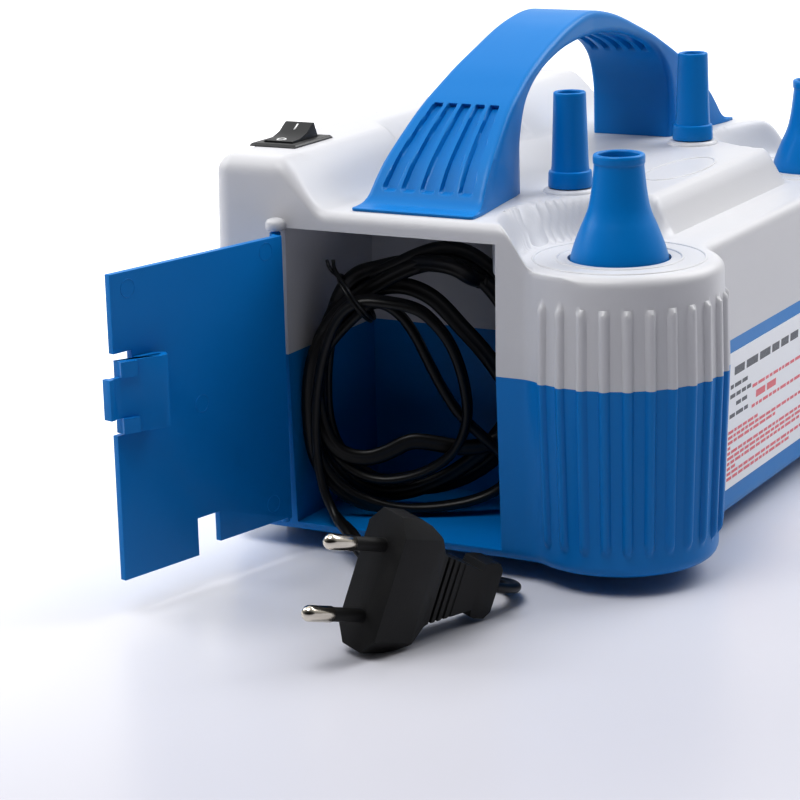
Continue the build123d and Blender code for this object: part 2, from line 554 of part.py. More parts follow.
def cord_tie():
    """Wire tie round the bundle where all the loops meet at the upper left."""
    angle = math.radians(118)
    x, z = 0.715 * COIL_A * math.cos(angle), 0.757 * COIL_B * math.sin(angle)
    band = Box(2.0, COIL_DEEP + 1.8, 24) - Box(3.0, COIL_DEEP + 0.2, 22.4)
    return coil_frame() * Pos(x, 0, z) * Rot(0, -28, 0) * band


def plug_frame():
    """Axes of the plug: X out along its pins, Z across its width; it leans on its edge on the floor."""
    return Pos(*PLUG_AT) * Rot(0, 0, PLUG_TURN) * Rot(0, -PLUG_LIFT, 0) * Rot(PLUG_ROLL, 0, 0)


def plug_body():
    """Flat two-pin mains plug: six-sided body, ribbed strain relief and a collar."""
    side = [(0, 17.6), (-7.0, 17.3), (-10.0, 16.2), (-12.4, 14.4), (-16.6, 9.6), (-18.0, 8.9), (-33.0, 5.2), (-33.4, 7.0),
            (-35.0, 7.4), (-38.6, 7.4), (-PLUG_LEN, 5.6)]
    top = [(0, 6.85), (-12.0, 6.85), (-17.0, 5.2), (-33.0, 3.9), (-PLUG_LEN, 3.7)]
    end = [(6.85, 13.2), (3.4, 17.65), (-3.4, 17.65), (-6.85, 13.2), (-6.85, -13.2), (-3.4, -17.65),
           (3.4, -17.65), (6.85, -13.2)]
    def full(points):
        return [*points, *[(a, -b) for a, b in points[::-1]]]
    body = extrude(make_face(Plane.XZ * Polyline(*full(side), close=True)), 9, both=True)
    body &= extrude(make_face(Plane.XY * Polyline(*full(top), close=True)), 20, both=True)
    body &= extrude(make_face(Plane.YZ * Polyline(*end, close=True)), 60, both=True)
    for groove in (-18.6, -20.8, -23.0, -25.2):
        for face in (-1, 1):
            body -= Pos(groove, face * 5.6, 0) * Box(0.9, 2.6, 30)
    for pin_z in (-9.1, 9.1):
        sleeve = Pos(4.9, 0, pin_z) * Rot(0, 90, 0) * Cylinder(1.75, 10.2)
        bore = Pos(2.0, 0, pin_z) * Rot(0, 90, 0) * Cylinder(1.4, 17.0)
        body = body + sleeve - bore
    return plug_frame() * body


def plug_pins():
    """Two round contact pins with thinner roots inside the moulded sleeves."""
    pins = []
    for pin_z in (-9.1, 9.1):
        pin = turned([(0, -6.0), (1.38, -6.0), (1.38, 10.05), (2.0, 10.05), (2.0, 17.6), (1.7, 18.5), (1.0, 19.0),
                      (0, 19.0)], 0, 0)
        pins.append(Pos(0, 0, pin_z) * Rot(0, 90, 0) * pin)
    return plug_frame() * Compound(children=pins)


def cord_tail():
    """The free cord from the tied loops over the sill and along the floor to the plug."""
    end = plug_frame() * Pos(-PLUG_LEN, 0, 0)
    points = [*CORD_ROUTE, tuple(end.position)]
    radii = route_radii(points)
    path = FilletPolyline(*points, radius=radii)
    tube = sweep(Plane(origin=path @ 0, z_dir=path % 0) * Circle(CORD_D / 2), path=path)
    runs = [round((Vector(b) - Vector(a)).length, 1) for a, b in zip(points, points[1:])]
    print("cord runs", runs)
    print("cord bend radii", [round(r, 1) for r in radii])
    print("cord tail length", round(path.length, 1), "volume ratio",
          round(tube.volume / (path.length * math.pi * CORD_D ** 2 / 4), 4))
    return tube


if __name__ == "__main__":
    pieces = {
        "lower_housing": lower_housing(), "upper_housing": upper_housing(), "handle": handle(),
        "housing_screws": screws(boss_places(), BASE_Z + 6.2, SPLIT_Z + 12, 2.9, 1.6, 2.8),
        "handle_screws": screws(handle_screw_places(), DECK_Z - WALL - 2.4, DECK_Z + 8.5, 3.2, 1.2, 2.4),
        "rubber_feet": rubber_feet(), "rating_label": rating_label(),
        "switch_case": switch_case(), "switch_rocker": switch_rocker(), "switch_terminals": switch_terminals(),
        "compartment_door": compartment_door(), "door_latch": door_latch(), "cord_gland": cord_gland(),
        "front_air_duct": air_duct(), "rear_air_duct": mirrored(air_duct()),
        "cord_coil": cord_coil(), "cord_tie": cord_tie(), "cord_tail": cord_tail(),
        "plug_body": plug_body(), "plug_pins": plug_pins(),
    }
    for name in TOWERS:
        pieces[f"{name}_wide_nozzle"] = wide_nozzle(name)
        pieces[f"{name}_nozzle_spring"] = nozzle_spring(name)
        pieces[f"{name}_slim_nozzle"] = slim_nozzle(name)
        for node, shape in motor(name).items():
            pieces[f"{name}_{node}"] = shape
    for node, shape in pieces.items():
        save(shape, node)
    print(len(pieces), "nodes written")
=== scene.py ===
# %% [markdown]
# # A mains balloon pump with its cord compartment open
#
# The pump is two ABS shells, a blue lower one and a light grey upper one, with an arched handle,
# two wide press-down nozzles over the motor towers and two slim nozzles on the deck. The packed
# model gives every piece its place, so nothing here is fitted: each visible skin is worked out
# again with numpy, in the same coordinates, with the soft blends that moulded plastic has.

# %% Load the frame
import json
import math

import bmesh
import bpy
import numpy as np
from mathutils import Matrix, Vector

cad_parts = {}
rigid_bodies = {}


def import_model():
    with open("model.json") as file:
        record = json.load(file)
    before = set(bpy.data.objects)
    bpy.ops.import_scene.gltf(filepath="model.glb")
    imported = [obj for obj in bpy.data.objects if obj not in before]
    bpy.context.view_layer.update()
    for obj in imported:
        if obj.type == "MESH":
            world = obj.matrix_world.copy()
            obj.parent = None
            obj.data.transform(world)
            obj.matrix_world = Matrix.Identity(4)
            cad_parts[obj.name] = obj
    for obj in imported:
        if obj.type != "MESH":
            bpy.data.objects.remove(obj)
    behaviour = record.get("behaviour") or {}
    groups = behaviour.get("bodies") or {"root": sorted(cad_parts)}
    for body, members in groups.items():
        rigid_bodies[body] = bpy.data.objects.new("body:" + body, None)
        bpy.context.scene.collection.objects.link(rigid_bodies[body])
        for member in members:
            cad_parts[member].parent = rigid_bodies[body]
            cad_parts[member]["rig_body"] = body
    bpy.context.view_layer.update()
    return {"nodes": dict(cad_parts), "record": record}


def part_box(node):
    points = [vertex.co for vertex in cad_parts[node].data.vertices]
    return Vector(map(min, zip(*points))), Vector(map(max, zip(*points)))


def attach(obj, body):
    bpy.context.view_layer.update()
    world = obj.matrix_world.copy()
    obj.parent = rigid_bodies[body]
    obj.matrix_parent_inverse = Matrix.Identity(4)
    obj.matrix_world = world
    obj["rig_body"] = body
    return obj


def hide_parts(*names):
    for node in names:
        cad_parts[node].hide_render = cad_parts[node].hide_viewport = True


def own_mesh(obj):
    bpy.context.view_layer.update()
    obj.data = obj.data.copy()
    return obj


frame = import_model()
nodes = frame["nodes"]
MM = 0.001

# %% [markdown]
# ## The pump's own coordinates
#
# The shapes are easiest to describe from the lower right corner of the compartment's mouth, in
# millimetres: X to the right along the front, Y into the pump, Z up. The gland in the
# compartment's back wall is a small round piece whose place is known in both systems, so its box
# gives the shift between them.

# %% From the pump's millimetres to the frame's metres
GLAND_X, GLAND_Z, GLAND_TIP_Y = -20.0, 73.0, 30.0
gland_low, gland_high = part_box("cord_gland")
SHIFT = np.array([(gland_low.x + gland_high.x) / 2 / MM - GLAND_X, gland_low.y / MM - GLAND_TIP_Y, 0.0])


def to_frame(points):
    """Points in the pump's millimetres, moved to the frame and turned to metres."""
    return (np.asarray(points, float) + SHIFT) * MM


print("shift from the pump's corner to the frame, mm:", SHIFT.round(3))

# %% The main sizes of the pump, in millimetres
LEFT_X, RIGHT_X, FRONT_Y, REAR_Y = -86.2, 40.4, -0.4, 190.4
MID_Y = (FRONT_Y + REAR_Y) / 2
SPLIT_Z, SHELF_Z, DECK_Z, RIDGE_Z = 55.3, 84.0, 94.5, 107.7
CORNER_R, NOOK_R = 7.0, 9.0
TOWER_X, TOWER_DY, TOWER_R = 24.5, 72.5, 27.4
TOWER_Y = {"front": MID_Y - TOWER_DY, "rear": MID_Y + TOWER_DY}
SLIM_X, SLIM_DY = -3.0, 43.0
SLIM_Y = {"front": MID_Y - SLIM_DY, "rear": MID_Y + SLIM_DY}
UPPER_DRAFT, LOWER_DRAFT = (math.tan(math.radians(degrees)) for degrees in (1.2, 2.0))
WALL, BASE_Z, WELL_R = 2.2, 5.2, 22.2
MOUTH_W, MOUTH_Z0, MOUTH_Z1, MOUTH_DEPTH = 62.0, 8.0, 89.6, 46.5
HINGE_X, HINGE_Y = -63.4, -2.6
SWITCH_X, SWITCH_Y = -75.6, 27.5

# %% [markdown]
# ## Small tools for meshes and curves
#
# Nearly every skin here is a grid: one parameter runs round the piece and the other along it. One
# helper turns such a grid of points into a mesh, one draws a smooth curve through a few chosen
# points, and one is the S-shaped step that softens every change of height.


# %% Mesh and curve helpers
def smooth_step(t):
    """0 below 0, 1 above 1, and 3t^2 - 2t^3 between, so it starts and ends level."""
    t = np.clip(t, 0.0, 1.0)
    return t * t * (3 - 2 * t)


def through(points, count):
    """A smooth curve through points: a Catmull-Rom spline, sampled at count even steps."""
    points = np.asarray(points, float)
    padded = np.vstack([2 * points[0] - points[1], points, 2 * points[-1] - points[-2]])
    t = np.linspace(0, len(points) - 1 - 1e-9, count)
    i, f = t.astype(int), (t % 1)[:, None]
    a, b, c, d = (padded[i + k] for k in range(4))
    return 0.5 * (2 * b + (c - a) * f + (2 * a - 5 * b + 4 * c - d) * f**2 + (3 * b - a - 3 * c + d) * f**3)


def in_scene(name, data):
    """A new object in the scene."""
    made = bpy.data.objects.new(name, data)
    bpy.context.scene.collection.objects.link(made)
    return made


def plain_object(name, verts, faces):
    """A mesh object from points in the pump's millimetres."""
    mesh = bpy.data.meshes.new(name)
    mesh.from_pydata(to_frame(verts).tolist(), [], faces)
    mesh.update()
    mesh.shade_smooth()
    return in_scene(name, mesh)


def grid_faces(rows, columns, closed_columns=True, closed_rows=False, start=0):
    """Quads of a rows x columns grid whose points are numbered row by row."""
    r = np.arange(rows if closed_rows else rows - 1)[:, None]
    c = np.arange(columns if closed_columns else columns - 1)[None, :]
    right, up = (c + 1) % columns, (r + 1) % rows
    quads = np.stack([r * columns + c, r * columns + right, up * columns + right, up * columns + c], -1)
    return (quads.reshape(-1, 4) + start).tolist()


def capped_tube(rings):
    """Points and faces of a closed tube from an array of rings, with a flat cap at each end."""
    count, around = rings.shape[:2]
    faces = grid_faces(count, around)
    faces.append(list(range(around))[::-1])
    faces.append([(count - 1) * around + k for k in range(around)])
    return rings.reshape(-1, 3), faces


def level(points, z):
    """Flat points lifted to a height."""
    return np.column_stack([points, np.full(len(points), z)])


def turned_rings(outline, x, y, around=96):
    """Rings of a piece turned about an upright axis: each (radius, height) becomes a circle."""
    outline = np.asarray(outline, float)
    a = np.linspace(0, 2 * math.pi, around, endpoint=False)
    radius, height = outline[:, 0][:, None], outline[:, 1][:, None]
    return np.stack([x + radius * np.cos(a), y + radius * np.sin(a), height + 0 * a], -1)


def soft_edges(piece, angle):
    """Smooth shading that keeps edges sharper than the angle crisp."""
    mesh = piece.data
    mesh.shade_smooth()
    mesh.set_sharp_from_angle(angle=math.radians(angle))


# %% [markdown]
# ## Materials
#
# Colours are written as sRGB hex values, as a paint chart gives them, and turned to linear light
# here. One small function adds a node, sets its inputs and links it, so each finish below reads as
# a short recipe.


# %% Colour and node helpers
def linear(hex_colour):
    """An sRGB hex colour as linear RGBA."""
    channels = [int(hex_colour[i:i + 2], 16) / 255 for i in (1, 3, 5)]
    return [c / 12.92 if c <= 0.04045 else ((c + 0.055) / 1.055) ** 2.4 for c in channels] + [1.0]


def add(tree, kind, settings=None, **inputs):
    """Adds a node; inputs are values or (node, output) pairs, keyed by the input's name or number."""
    node = tree.nodes.new(kind)
    for key, value in (settings or {}).items():
        setattr(node, key, value)
    for key, value in inputs.items():
        socket = node.inputs[int(key[1:])] if key[0] == "_" else node.inputs[key.replace("_", " ")]
        if isinstance(value, tuple) and isinstance(value[0], bpy.types.Node):
            tree.links.new(value[0].outputs[value[1]], socket)
        else:
            socket.default_value = value
    return node


def start_material(name, roughness, **inputs):
    """A new material, its tree, its shader and a node with Object coordinates in metres."""
    material = bpy.data.materials.new(name)
    material.use_nodes = True
    tree = material.node_tree
    shader = tree.nodes["Principled BSDF"]
    shader.inputs["Roughness"].default_value = roughness
    for key, value in inputs.items():
        shader.inputs[key.replace("_", " ")].default_value = value
    return material, tree, shader, add(tree, "ShaderNodeTexCoord")


def moulded(name, colour, second, roughness, grain_mm, grain_height, ior=1.53, spread=0.06, sheen=0.5):
    """Moulded plastic: a fine spark-eroded grain, slow colour drift from the melt, and handled gloss."""
    material, tree, shader, coords = start_material(name, roughness, IOR=ior, Specular_IOR_Level=sheen)
    drift = add(tree, "ShaderNodeTexNoise", Vector=(coords, "Object"), Scale=18.0, Detail=3.0)
    tone = add(tree, "ShaderNodeMix", {"data_type": "RGBA"}, Factor=(drift, "Fac"),
               A=linear(colour), B=linear(second))
    tree.links.new(tone.outputs["Result"], shader.inputs["Base Color"])
    handled = add(tree, "ShaderNodeTexNoise", Vector=(coords, "Object"), Scale=60.0, Detail=5.0, Roughness=0.6)
    gloss = add(tree, "ShaderNodeMapRange", Value=(handled, "Fac"), _3=roughness - spread, _4=roughness + spread)
    tree.links.new(gloss.outputs["Result"], shader.inputs["Roughness"])
    grain = add(tree, "ShaderNodeTexNoise", Vector=(coords, "Object"), Scale=1 / (grain_mm * MM), Detail=2.0)
    bump = add(tree, "ShaderNodeBump", Height=(grain, "Fac"), Strength=0.35, Distance=grain_height * MM)
    tree.links.new(bump.outputs["Normal"], shader.inputs["Normal"])
    return material


def metal(name, colour, roughness, streak):
    """Bare or plated metal: noise stretched along Z gives turning or drawing marks."""
    material, tree, shader, coords = start_material(name, roughness, Metallic=1.0)
    stretch = add(tree, "ShaderNodeMapping", Vector=(coords, "Object"), Scale=(1.0, 1.0, streak))
    marks = add(tree, "ShaderNodeTexNoise", Vector=(stretch, "Vector"), Scale=900.0, Detail=3.0)
    tone = add(tree, "ShaderNodeMix", {"data_type": "RGBA"}, Factor=(marks, "Fac"),
               A=linear(colour), B=[c * 0.82 for c in linear(colour)[:3]] + [1.0])
    tree.links.new(tone.outputs["Result"], shader.inputs["Base Color"])
    gloss = add(tree, "ShaderNodeMapRange", Value=(marks, "Fac"), _3=roughness * 0.7, _4=roughness * 1.4)
    tree.links.new(gloss.outputs["Result"], shader.inputs["Roughness"])
    bump = add(tree, "ShaderNodeBump", Height=(marks, "Fac"), Strength=0.15, Distance=0.02 * MM)
    tree.links.new(bump.outputs["Normal"], shader.inputs["Normal"])
    return material


# %% One finish for each material slot
finish = {
    # glossy ABS from a polished tool: clear highlights with a faint orange-peel
    "blue_abs": moulded("blue_abs", "#007CC4", "#0075BC", 0.34, 0.9, 0.02, sheen=0.22),
    # the same ABS in light grey from a finely etched tool: broad, soft highlights
    "grey_abs": moulded("grey_abs", "#CBCBCE", "#C5C5C9", 0.42, 0.7, 0.05),
    "black_nylon": moulded("black_nylon", "#131416", "#18191B", 0.38, 0.6, 0.04),
    # plasticised PVC of cord and plug: satin, with a slight oily sheen along the cord
    "black_pvc": moulded("black_pvc", "#08080A", "#0D0D0F", 0.40, 0.5, 0.03, ior=1.52, sheen=0.35),
    "black_rubber": moulded("black_rubber", "#17171A", "#1E1E21", 0.72, 0.4, 0.05),
    "white_nylon": moulded("white_nylon", "#E3E2DC", "#DAD9D2", 0.4, 0.6, 0.03),
    "clear_hose": moulded("clear_hose", "#D9D8D0", "#CFCEC6", 0.25, 0.8, 0.02),
    "carbon": moulded("carbon", "#1B1B1C", "#262627", 0.6, 0.3, 0.05),
    "paper_label": moulded("paper_label", "#E9EAEE", "#E4E6EA", 0.45, 1.0, 0.01),
    "nickel": metal("nickel", "#D9D2C6", 0.16, 6.0),
    "zinc_steel": metal("zinc_steel", "#B9BCC2", 0.34, 3.0),
    "spring_steel": metal("spring_steel", "#A7A9AD", 0.28, 2.0),
    "lamination_steel": metal("lamination_steel", "#7F8288", 0.45, 12.0),
    "brass_tin": metal("brass_tin", "#CFC49A", 0.3, 2.0),
    "copper_wire": metal("copper_wire", "#B4622F", 0.32, 8.0),
    "commutator_copper": metal("commutator_copper", "#C9793F", 0.3, 1.0),
}


def paint(piece, material):
    """Makes a material the only one on a piece."""
    piece.data.materials.clear()
    piece.data.materials.append(material)


def finished(piece, body, slot, *replaced, angle=None):
    """Puts a piece on a body in a slot's finish, and lets it stand for the CAD nodes named."""
    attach(piece, body)
    paint(piece, finish[slot])
    if angle:
        soft_edges(piece, angle)
    if replaced:
        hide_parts(*replaced)
    return piece


def new_piece(name, shape, body, slot, *replaced, angle=None):
    """A finished piece from a shape, which is its points and faces."""
    return finished(plain_object(name, *shape), body, slot, *replaced, angle=angle)


slot_of = {part["node"]: part["material_slot"] for part in frame["record"]["subparts"]}
for node_name, node_object in nodes.items():
    paint(node_object, finish[slot_of[node_name]])
    soft_edges(node_object, 30)
print(len(finish), "finishes on", len(nodes), "nodes")

# %% [markdown]
# ## The camera
#
# A long lens about two thirds of a metre away, looking down 15 degrees onto the front right corner.
# The camera and the cord come first, because the cord has to lie inside the picture.

# %% Camera
CAMERA_AT = (292.19, -578.52, 219.16)
camera_data = bpy.data.cameras.new("camera")
camera_data.sensor_width = 36.0
camera_data.lens = 117.2
camera_data.clip_start = 0.05
camera = in_scene("camera", camera_data)
camera.location = to_frame([CAMERA_AT])[0]
camera.rotation_euler = [math.radians(a) for a in (75.33, 1.45, 28.62)]
bpy.context.scene.camera = camera

# %% [markdown]
# ## The cord
#
# A flat twin cord, 4.6 x 2.8 mm, the kind on small double-insulated appliances. It comes through a
# gland in the back wall, makes five loose upright loops that a wire tie gathers at the upper left,
# then runs down the left of the mouth, over the sill and along the floor to its plug. One NURBS
# spline is the centre line: each loop is a few chosen points with a smooth curve through them, and
# the free stretch is the same list that the solid was drawn from.

# %% The cord's centre line
CORD_W, CORD_T = 4.6, 2.8
COIL_AT, COIL_TURN = np.array([-31.0, 24.0, 47.0]), math.radians(27.0)
CORD_ROUTE = [(-37.5, 10.4, 69.6), (-44.5, 7.6, 70.2), (-49.8, 5.9, 66.2), (-53.6, 4.8, 57.5),
              (-56.5, 4.3, 45.0), (-57.4, 4.1, 30.0), (-55.4, 4.0, 17.0), (-50.4, 2.6, 9.8),
              (-43.2, -3.0, 9.0), (-36.0, -8.2, 4.0), (-26.0, -9.6, 1.7), (-15.0, -9.0, 1.6),
              (-5.0, -7.2, 1.9), (6.6, -7.0, 2.4), (12.6, -17.0, 4.4)]
PLUG_AT, PLUG_TURN, PLUG_LIFT, PLUG_ROLL, PLUG_LEN = (-3.0, -62.2, 18.95), 251.8, 16.1, -9.4, 40.4


def coil_point(across, deep, up):
    """A point given in the coil's own axes, which are turned a little about the upright."""
    x = across * math.cos(COIL_TURN) - deep * math.sin(COIL_TURN)
    y = across * math.sin(COIL_TURN) + deep * math.cos(COIL_TURN)
    return COIL_AT + np.array([x, y, up])


# the run from the gland to the tie, then each pass of the cord: down the left, along the bottom, up
# the right and back under the roof to the tie, all as (across, up, deep) in the coil's axes
COIL_START = [(2, 33, 1), (-13, 29.6, 2), (-22.3, 26.9, 0)]
COIL_PASSES = [
    [(-28, 13, 5), (-30.5, -4, 6), (-28, -22, 7), (-14, -33, 7), (6, -32, 6), (22, -19, 5),
     (27, 0, 4), (23, 20, 3), (9, 34, 2), (-3, 33, 1), (-13, 28.4, 0), (-21.7, 24.5, 2.4)],
    [(-29.3, 12, 2), (-31.6, -6, 2.5), (-29, -24, 3), (-16, -34.5, 3), (2, -30, 2.5), (18, -17, 2),
     (23.5, 1, 1.5), (19.5, 19, 1), (8, 30.5, 0.5), (-4, 30.4, 0), (-13, 26.6, -1), (-21.0, 22.0, -2.4)],
    [(-30.5, 11, -1), (-32.3, -6, -1), (-28, -20, -1), (-17, -23, -1), (-7, -18, -1), (2, -19.5, -1),
     (11, -20.5, -0.5), (19.5, -17, 0), (22, -9, 0), (18.5, -1, 0), (13, 7, 0), (6.9, 14, 0),
     (0.9, 20.9, 0), (-6, 24.6, 0), (-13, 24.6, 1), (-20.0, 20.9, 2.4)],
    [(-31.4, 9, -3), (-33.8, -8, -3.5), (-31.5, -25, -3.5), (-19, -35.5, -3), (0, -36.5, -3),
     (15, -33, -3), (20.5, -26.5, -3), (16, -19.5, -3), (7, -11, -3), (0.4, 0.5, -3),
     (-5, 12.3, -3), (-9.4, 18.2, -2.8), (-14.4, 20.9, -2.6), (-19.2, 18.5, -2.4)],
    [(-29.6, 7, -0.6), (-31.2, -8, 0.6), (-28.5, -21, 0.8), (-19, -28.5, -0.5), (-7, -28, -2),
     (4, -22, -3.8), (9, -11, -5.4), (7.6, 2, -6.6), (3.4, 13, -7.8), (-3.6, 20.6, -8.9)],
]


def loop_points(per_pass=22):
    """The start and the passes one after another, smoothed through their points and sampled evenly."""
    chain = COIL_START + [point for one in COIL_PASSES for point in one]
    smooth = through(chain, len(COIL_PASSES) * per_pass + 6)
    return [coil_point(across, deep, up) for across, up, deep in smooth[1:]]


def plug_axes():
    """The plug's origin and its axes: out along the pins, across its face, along its width."""
    z, y, x = (math.radians(a) for a in (PLUG_TURN, -PLUG_LIFT, PLUG_ROLL))
    turn_z = np.array([[math.cos(z), -math.sin(z), 0], [math.sin(z), math.cos(z), 0], [0, 0, 1]])
    turn_y = np.array([[math.cos(y), 0, math.sin(y)], [0, 1, 0], [-math.sin(y), 0, math.cos(y)]])
    turn_x = np.array([[1, 0, 0], [0, math.cos(x), -math.sin(x)], [0, math.sin(x), math.cos(x)]])
    return np.array(PLUG_AT), turn_z @ turn_y @ turn_x


plug_origin, plug_turn = plug_axes()
plug_tail = plug_origin + plug_turn @ np.array([-PLUG_LEN, 0, 0])
gland_tip = np.array([GLAND_X, GLAND_TIP_Y, GLAND_Z])
route = [gland_tip, gland_tip + [0.6, -4.6, 1.2], gland_tip + [-4.0, -8.0, 5.5],
         *loop_points(), *[np.array(p) for p in CORD_ROUTE], plug_tail]

line_data = bpy.data.curves.new("cord_line", "CURVE")
line_data.dimensions = "3D"
line_data.resolution_u = 8
spline = line_data.splines.new("NURBS")
spline.points.add(len(route) - 1)
for point, place in zip(spline.points, to_frame(route)):
    point.co = (*place, 1.0)
spline.order_u = 3
spline.use_endpoint_u = True
line_object = in_scene("cord_line", line_data)
line_mesh = bpy.data.meshes.new_from_object(line_object)
cord_path = np.array([v.co for v in line_mesh.vertices])
bpy.data.objects.remove(line_object)
bpy.data.meshes.remove(line_mesh)


# %% The cord's flat twin section, carried along the line
def carried(path, section, first_side, level_below=0.0):
    """Rings of a section carried along a path: it turns only as the path bends, and lies level low down."""
    ahead = np.gradient(path, axis=0)
    ahead /= np.linalg.norm(ahead, axis=1)[:, None]
    sides = np.empty_like(path)
    side = np.asarray(first_side, float)
    for i, direction in enumerate(ahead):
        side = side - direction * (side @ direction)
        if path[i, 2] < level_below:
            sideways = np.cross(direction, (0.0, 0.0, 1.0))
            side = side + 0.2 * math.copysign(1.0, side @ sideways) * sideways
        side = side / np.linalg.norm(side)
        sides[i] = side
    other = np.cross(ahead, sides)
    return path[:, None] + section[None, :, :1] * sides[:, None] + section[None, :, 1:] * other[:, None]


around = np.linspace(0, 2 * math.pi, 28, endpoint=False)
wide = CORD_W / 2 * np.sign(np.cos(around)) * np.abs(np.cos(around)) ** 0.85
groove = 1 - 0.30 * np.exp(-((wide / 0.55) ** 2))
thick = CORD_T / 2 * np.sin(around) * groove
cord_section = np.stack([wide, thick], -1) * MM
cord_rings = carried(cord_path, cord_section, (0.25, 1.0, 0.2), level_below=0.012) / MM - SHIFT
flat_cord = new_piece("flat_cord", capped_tube(cord_rings), "root", "black_pvc", "cord_coil", "cord_tail")

# %% [markdown]
# ## The upper shell
#
# One grey moulding: a flat deck, a ridge over the wiring on the left, and a lower shelf that
# carries both towers. Every change of height is an S-shaped step, and every rim is rounded. Its
# surface is a grid. One parameter runs round the outline, and the other climbs the wall, rolls
# over the rim, and goes inwards to a line along the middle of the deck.


# %% The outline at the parting line
def arc_piece(centre, radius, start, end, spacing):
    """Points and outward normals along an arc; a negative radius is a hollow corner."""
    count = max(4, int(abs(math.radians(end - start) * radius) / spacing))
    a = np.radians(np.linspace(start, end, count, endpoint=False))
    ray = np.stack([np.cos(a), np.sin(a)], -1)
    return np.array(centre) + abs(radius) * ray, ray * math.copysign(1, radius)


def line_piece(start, end, normal, spacing):
    """Points and normals along a straight wall."""
    start, end = np.array(start), np.array(end)
    count = max(2, int(np.linalg.norm(end - start) / spacing))
    t = np.linspace(0, 1, count, endpoint=False)[:, None]
    return start + (end - start) * t, np.repeat([normal], count, axis=0)


def pump_outline(fine=0.42, coarse=1.6):
    """Rounded box with a round tower at two corners, as tangent lines and arcs, going anticlockwise."""
    tower_y = TOWER_Y["front"]
    reach = TOWER_R + NOOK_R
    nook_dy = tower_y - (FRONT_Y - NOOK_R)
    front_nook = (TOWER_X - math.sqrt(reach**2 - nook_dy**2), FRONT_Y - NOOK_R)
    nook_dx = RIGHT_X + NOOK_R - TOWER_X
    side_nook = (RIGHT_X + NOOK_R, tower_y + math.sqrt(reach**2 - nook_dx**2))
    front_turn = math.degrees(math.atan2(nook_dy, TOWER_X - front_nook[0]))
    side_turn = math.degrees(math.atan2(side_nook[1] - tower_y, nook_dx))
    left, front = LEFT_X + CORNER_R, FRONT_Y + CORNER_R
    half = [
        line_piece((LEFT_X, MID_Y), (LEFT_X, front), (-1.0, 0.0), coarse),
        arc_piece((left, front), CORNER_R, 180, 270, 0.8),
        line_piece((left, FRONT_Y), (front_nook[0], FRONT_Y), (0.0, -1.0), 0.9),
        arc_piece(front_nook, -NOOK_R, 90, front_turn, 0.5),
        arc_piece((TOWER_X, tower_y), TOWER_R, front_turn - 180, side_turn, fine),
        arc_piece(side_nook, -NOOK_R, side_turn + 180, 180, 0.5),
        line_piece((RIGHT_X, side_nook[1]), (RIGHT_X, MID_Y), (1.0, 0.0), coarse),
    ]
    points = np.vstack([p for p, _ in half])
    normals = np.vstack([n for _, n in half])
    back_points = points[::-1] * [1, -1] + [0, 2 * MID_Y]
    back_normals = normals[::-1] * [1, -1]
    middle = [[RIGHT_X, MID_Y]], [[1.0, 0.0]]
    return np.vstack([points, middle[0], back_points[:-1]]), np.vstack([normals, middle[1], back_normals[:-1]])


# %% The height of the top at any place, and the ribs; each pair of a step is where it starts and its run
DECK_STEP, TOWER_STEP, RIDGE_STEP, WAIST_STEP = (27.6, 7.4), (25.2, 6.4), (-50.0, 15.5), (8.0, 1.0)
WAIST_FROM, WAIST_TO, WAIST_RUN = 58, 132, 12
RIB_HALF, RIB_RISE, RIB_END = 1.3, 1.15, 0.8
RIB_FIRST, RIB_STEP, RIB_COUNT = -112, 12.5, 12


def top_height(x, y):
    """Shelf, plus an S-step up to the deck away from both towers, plus an S-step up to the ridge."""
    deck = smooth_step((DECK_STEP[0] - x) / DECK_STEP[1])
    for tower_y in TOWER_Y.values():
        away = np.hypot(x - TOWER_X, y - tower_y)
        deck = deck * smooth_step((away - TOWER_STEP[0]) / TOWER_STEP[1])
    waist = smooth_step((y - WAIST_FROM) / WAIST_RUN) * smooth_step((WAIST_TO - y) / WAIST_RUN)
    ridge = smooth_step((RIDGE_STEP[0] - WAIST_STEP[0] * waist - x) / (RIDGE_STEP[1] - WAIST_STEP[1] * waist))
    return SHELF_Z + (DECK_Z - SHELF_Z) * deck + (RIDGE_Z - DECK_Z) * ridge


def rib_rise(points, z, low, high):
    """Height of the grip ribs: half-round bars with round ends, at even steps round both towers."""
    rise = np.zeros(len(points))
    for tower_y, sign in ((TOWER_Y["front"], 1), (TOWER_Y["rear"], -1)):
        dx, dy = points[:, 0] - TOWER_X, (points[:, 1] - tower_y) * sign
        on_tower = np.abs(np.hypot(dx, dy) - TOWER_R) < 0.05
        angle = np.degrees(np.arctan2(dy, dx))
        nearest = np.clip(np.round((angle - RIB_FIRST) / RIB_STEP), 0, RIB_COUNT - 1)
        across = np.radians(angle - (RIB_FIRST + RIB_STEP * nearest)) * TOWER_R
        past = (np.clip(z - (high - RIB_HALF), 0, None) + np.clip(low + RIB_HALF - z, 0, None)) * RIB_END
        rise += RIB_RISE * np.sqrt(np.clip(1 - (np.hypot(across, past) / RIB_HALF) ** 2, 0, 1)) * on_tower
    return rise


# %% The upper shell's skin, and the room inside it
RIM_R, RIDGE_RIM_MORE = 3.0, 2.0
MIDDLE_X, MIDDLE_Y, OVAL_R = -24.0, (34.0, 156.0), 2.0


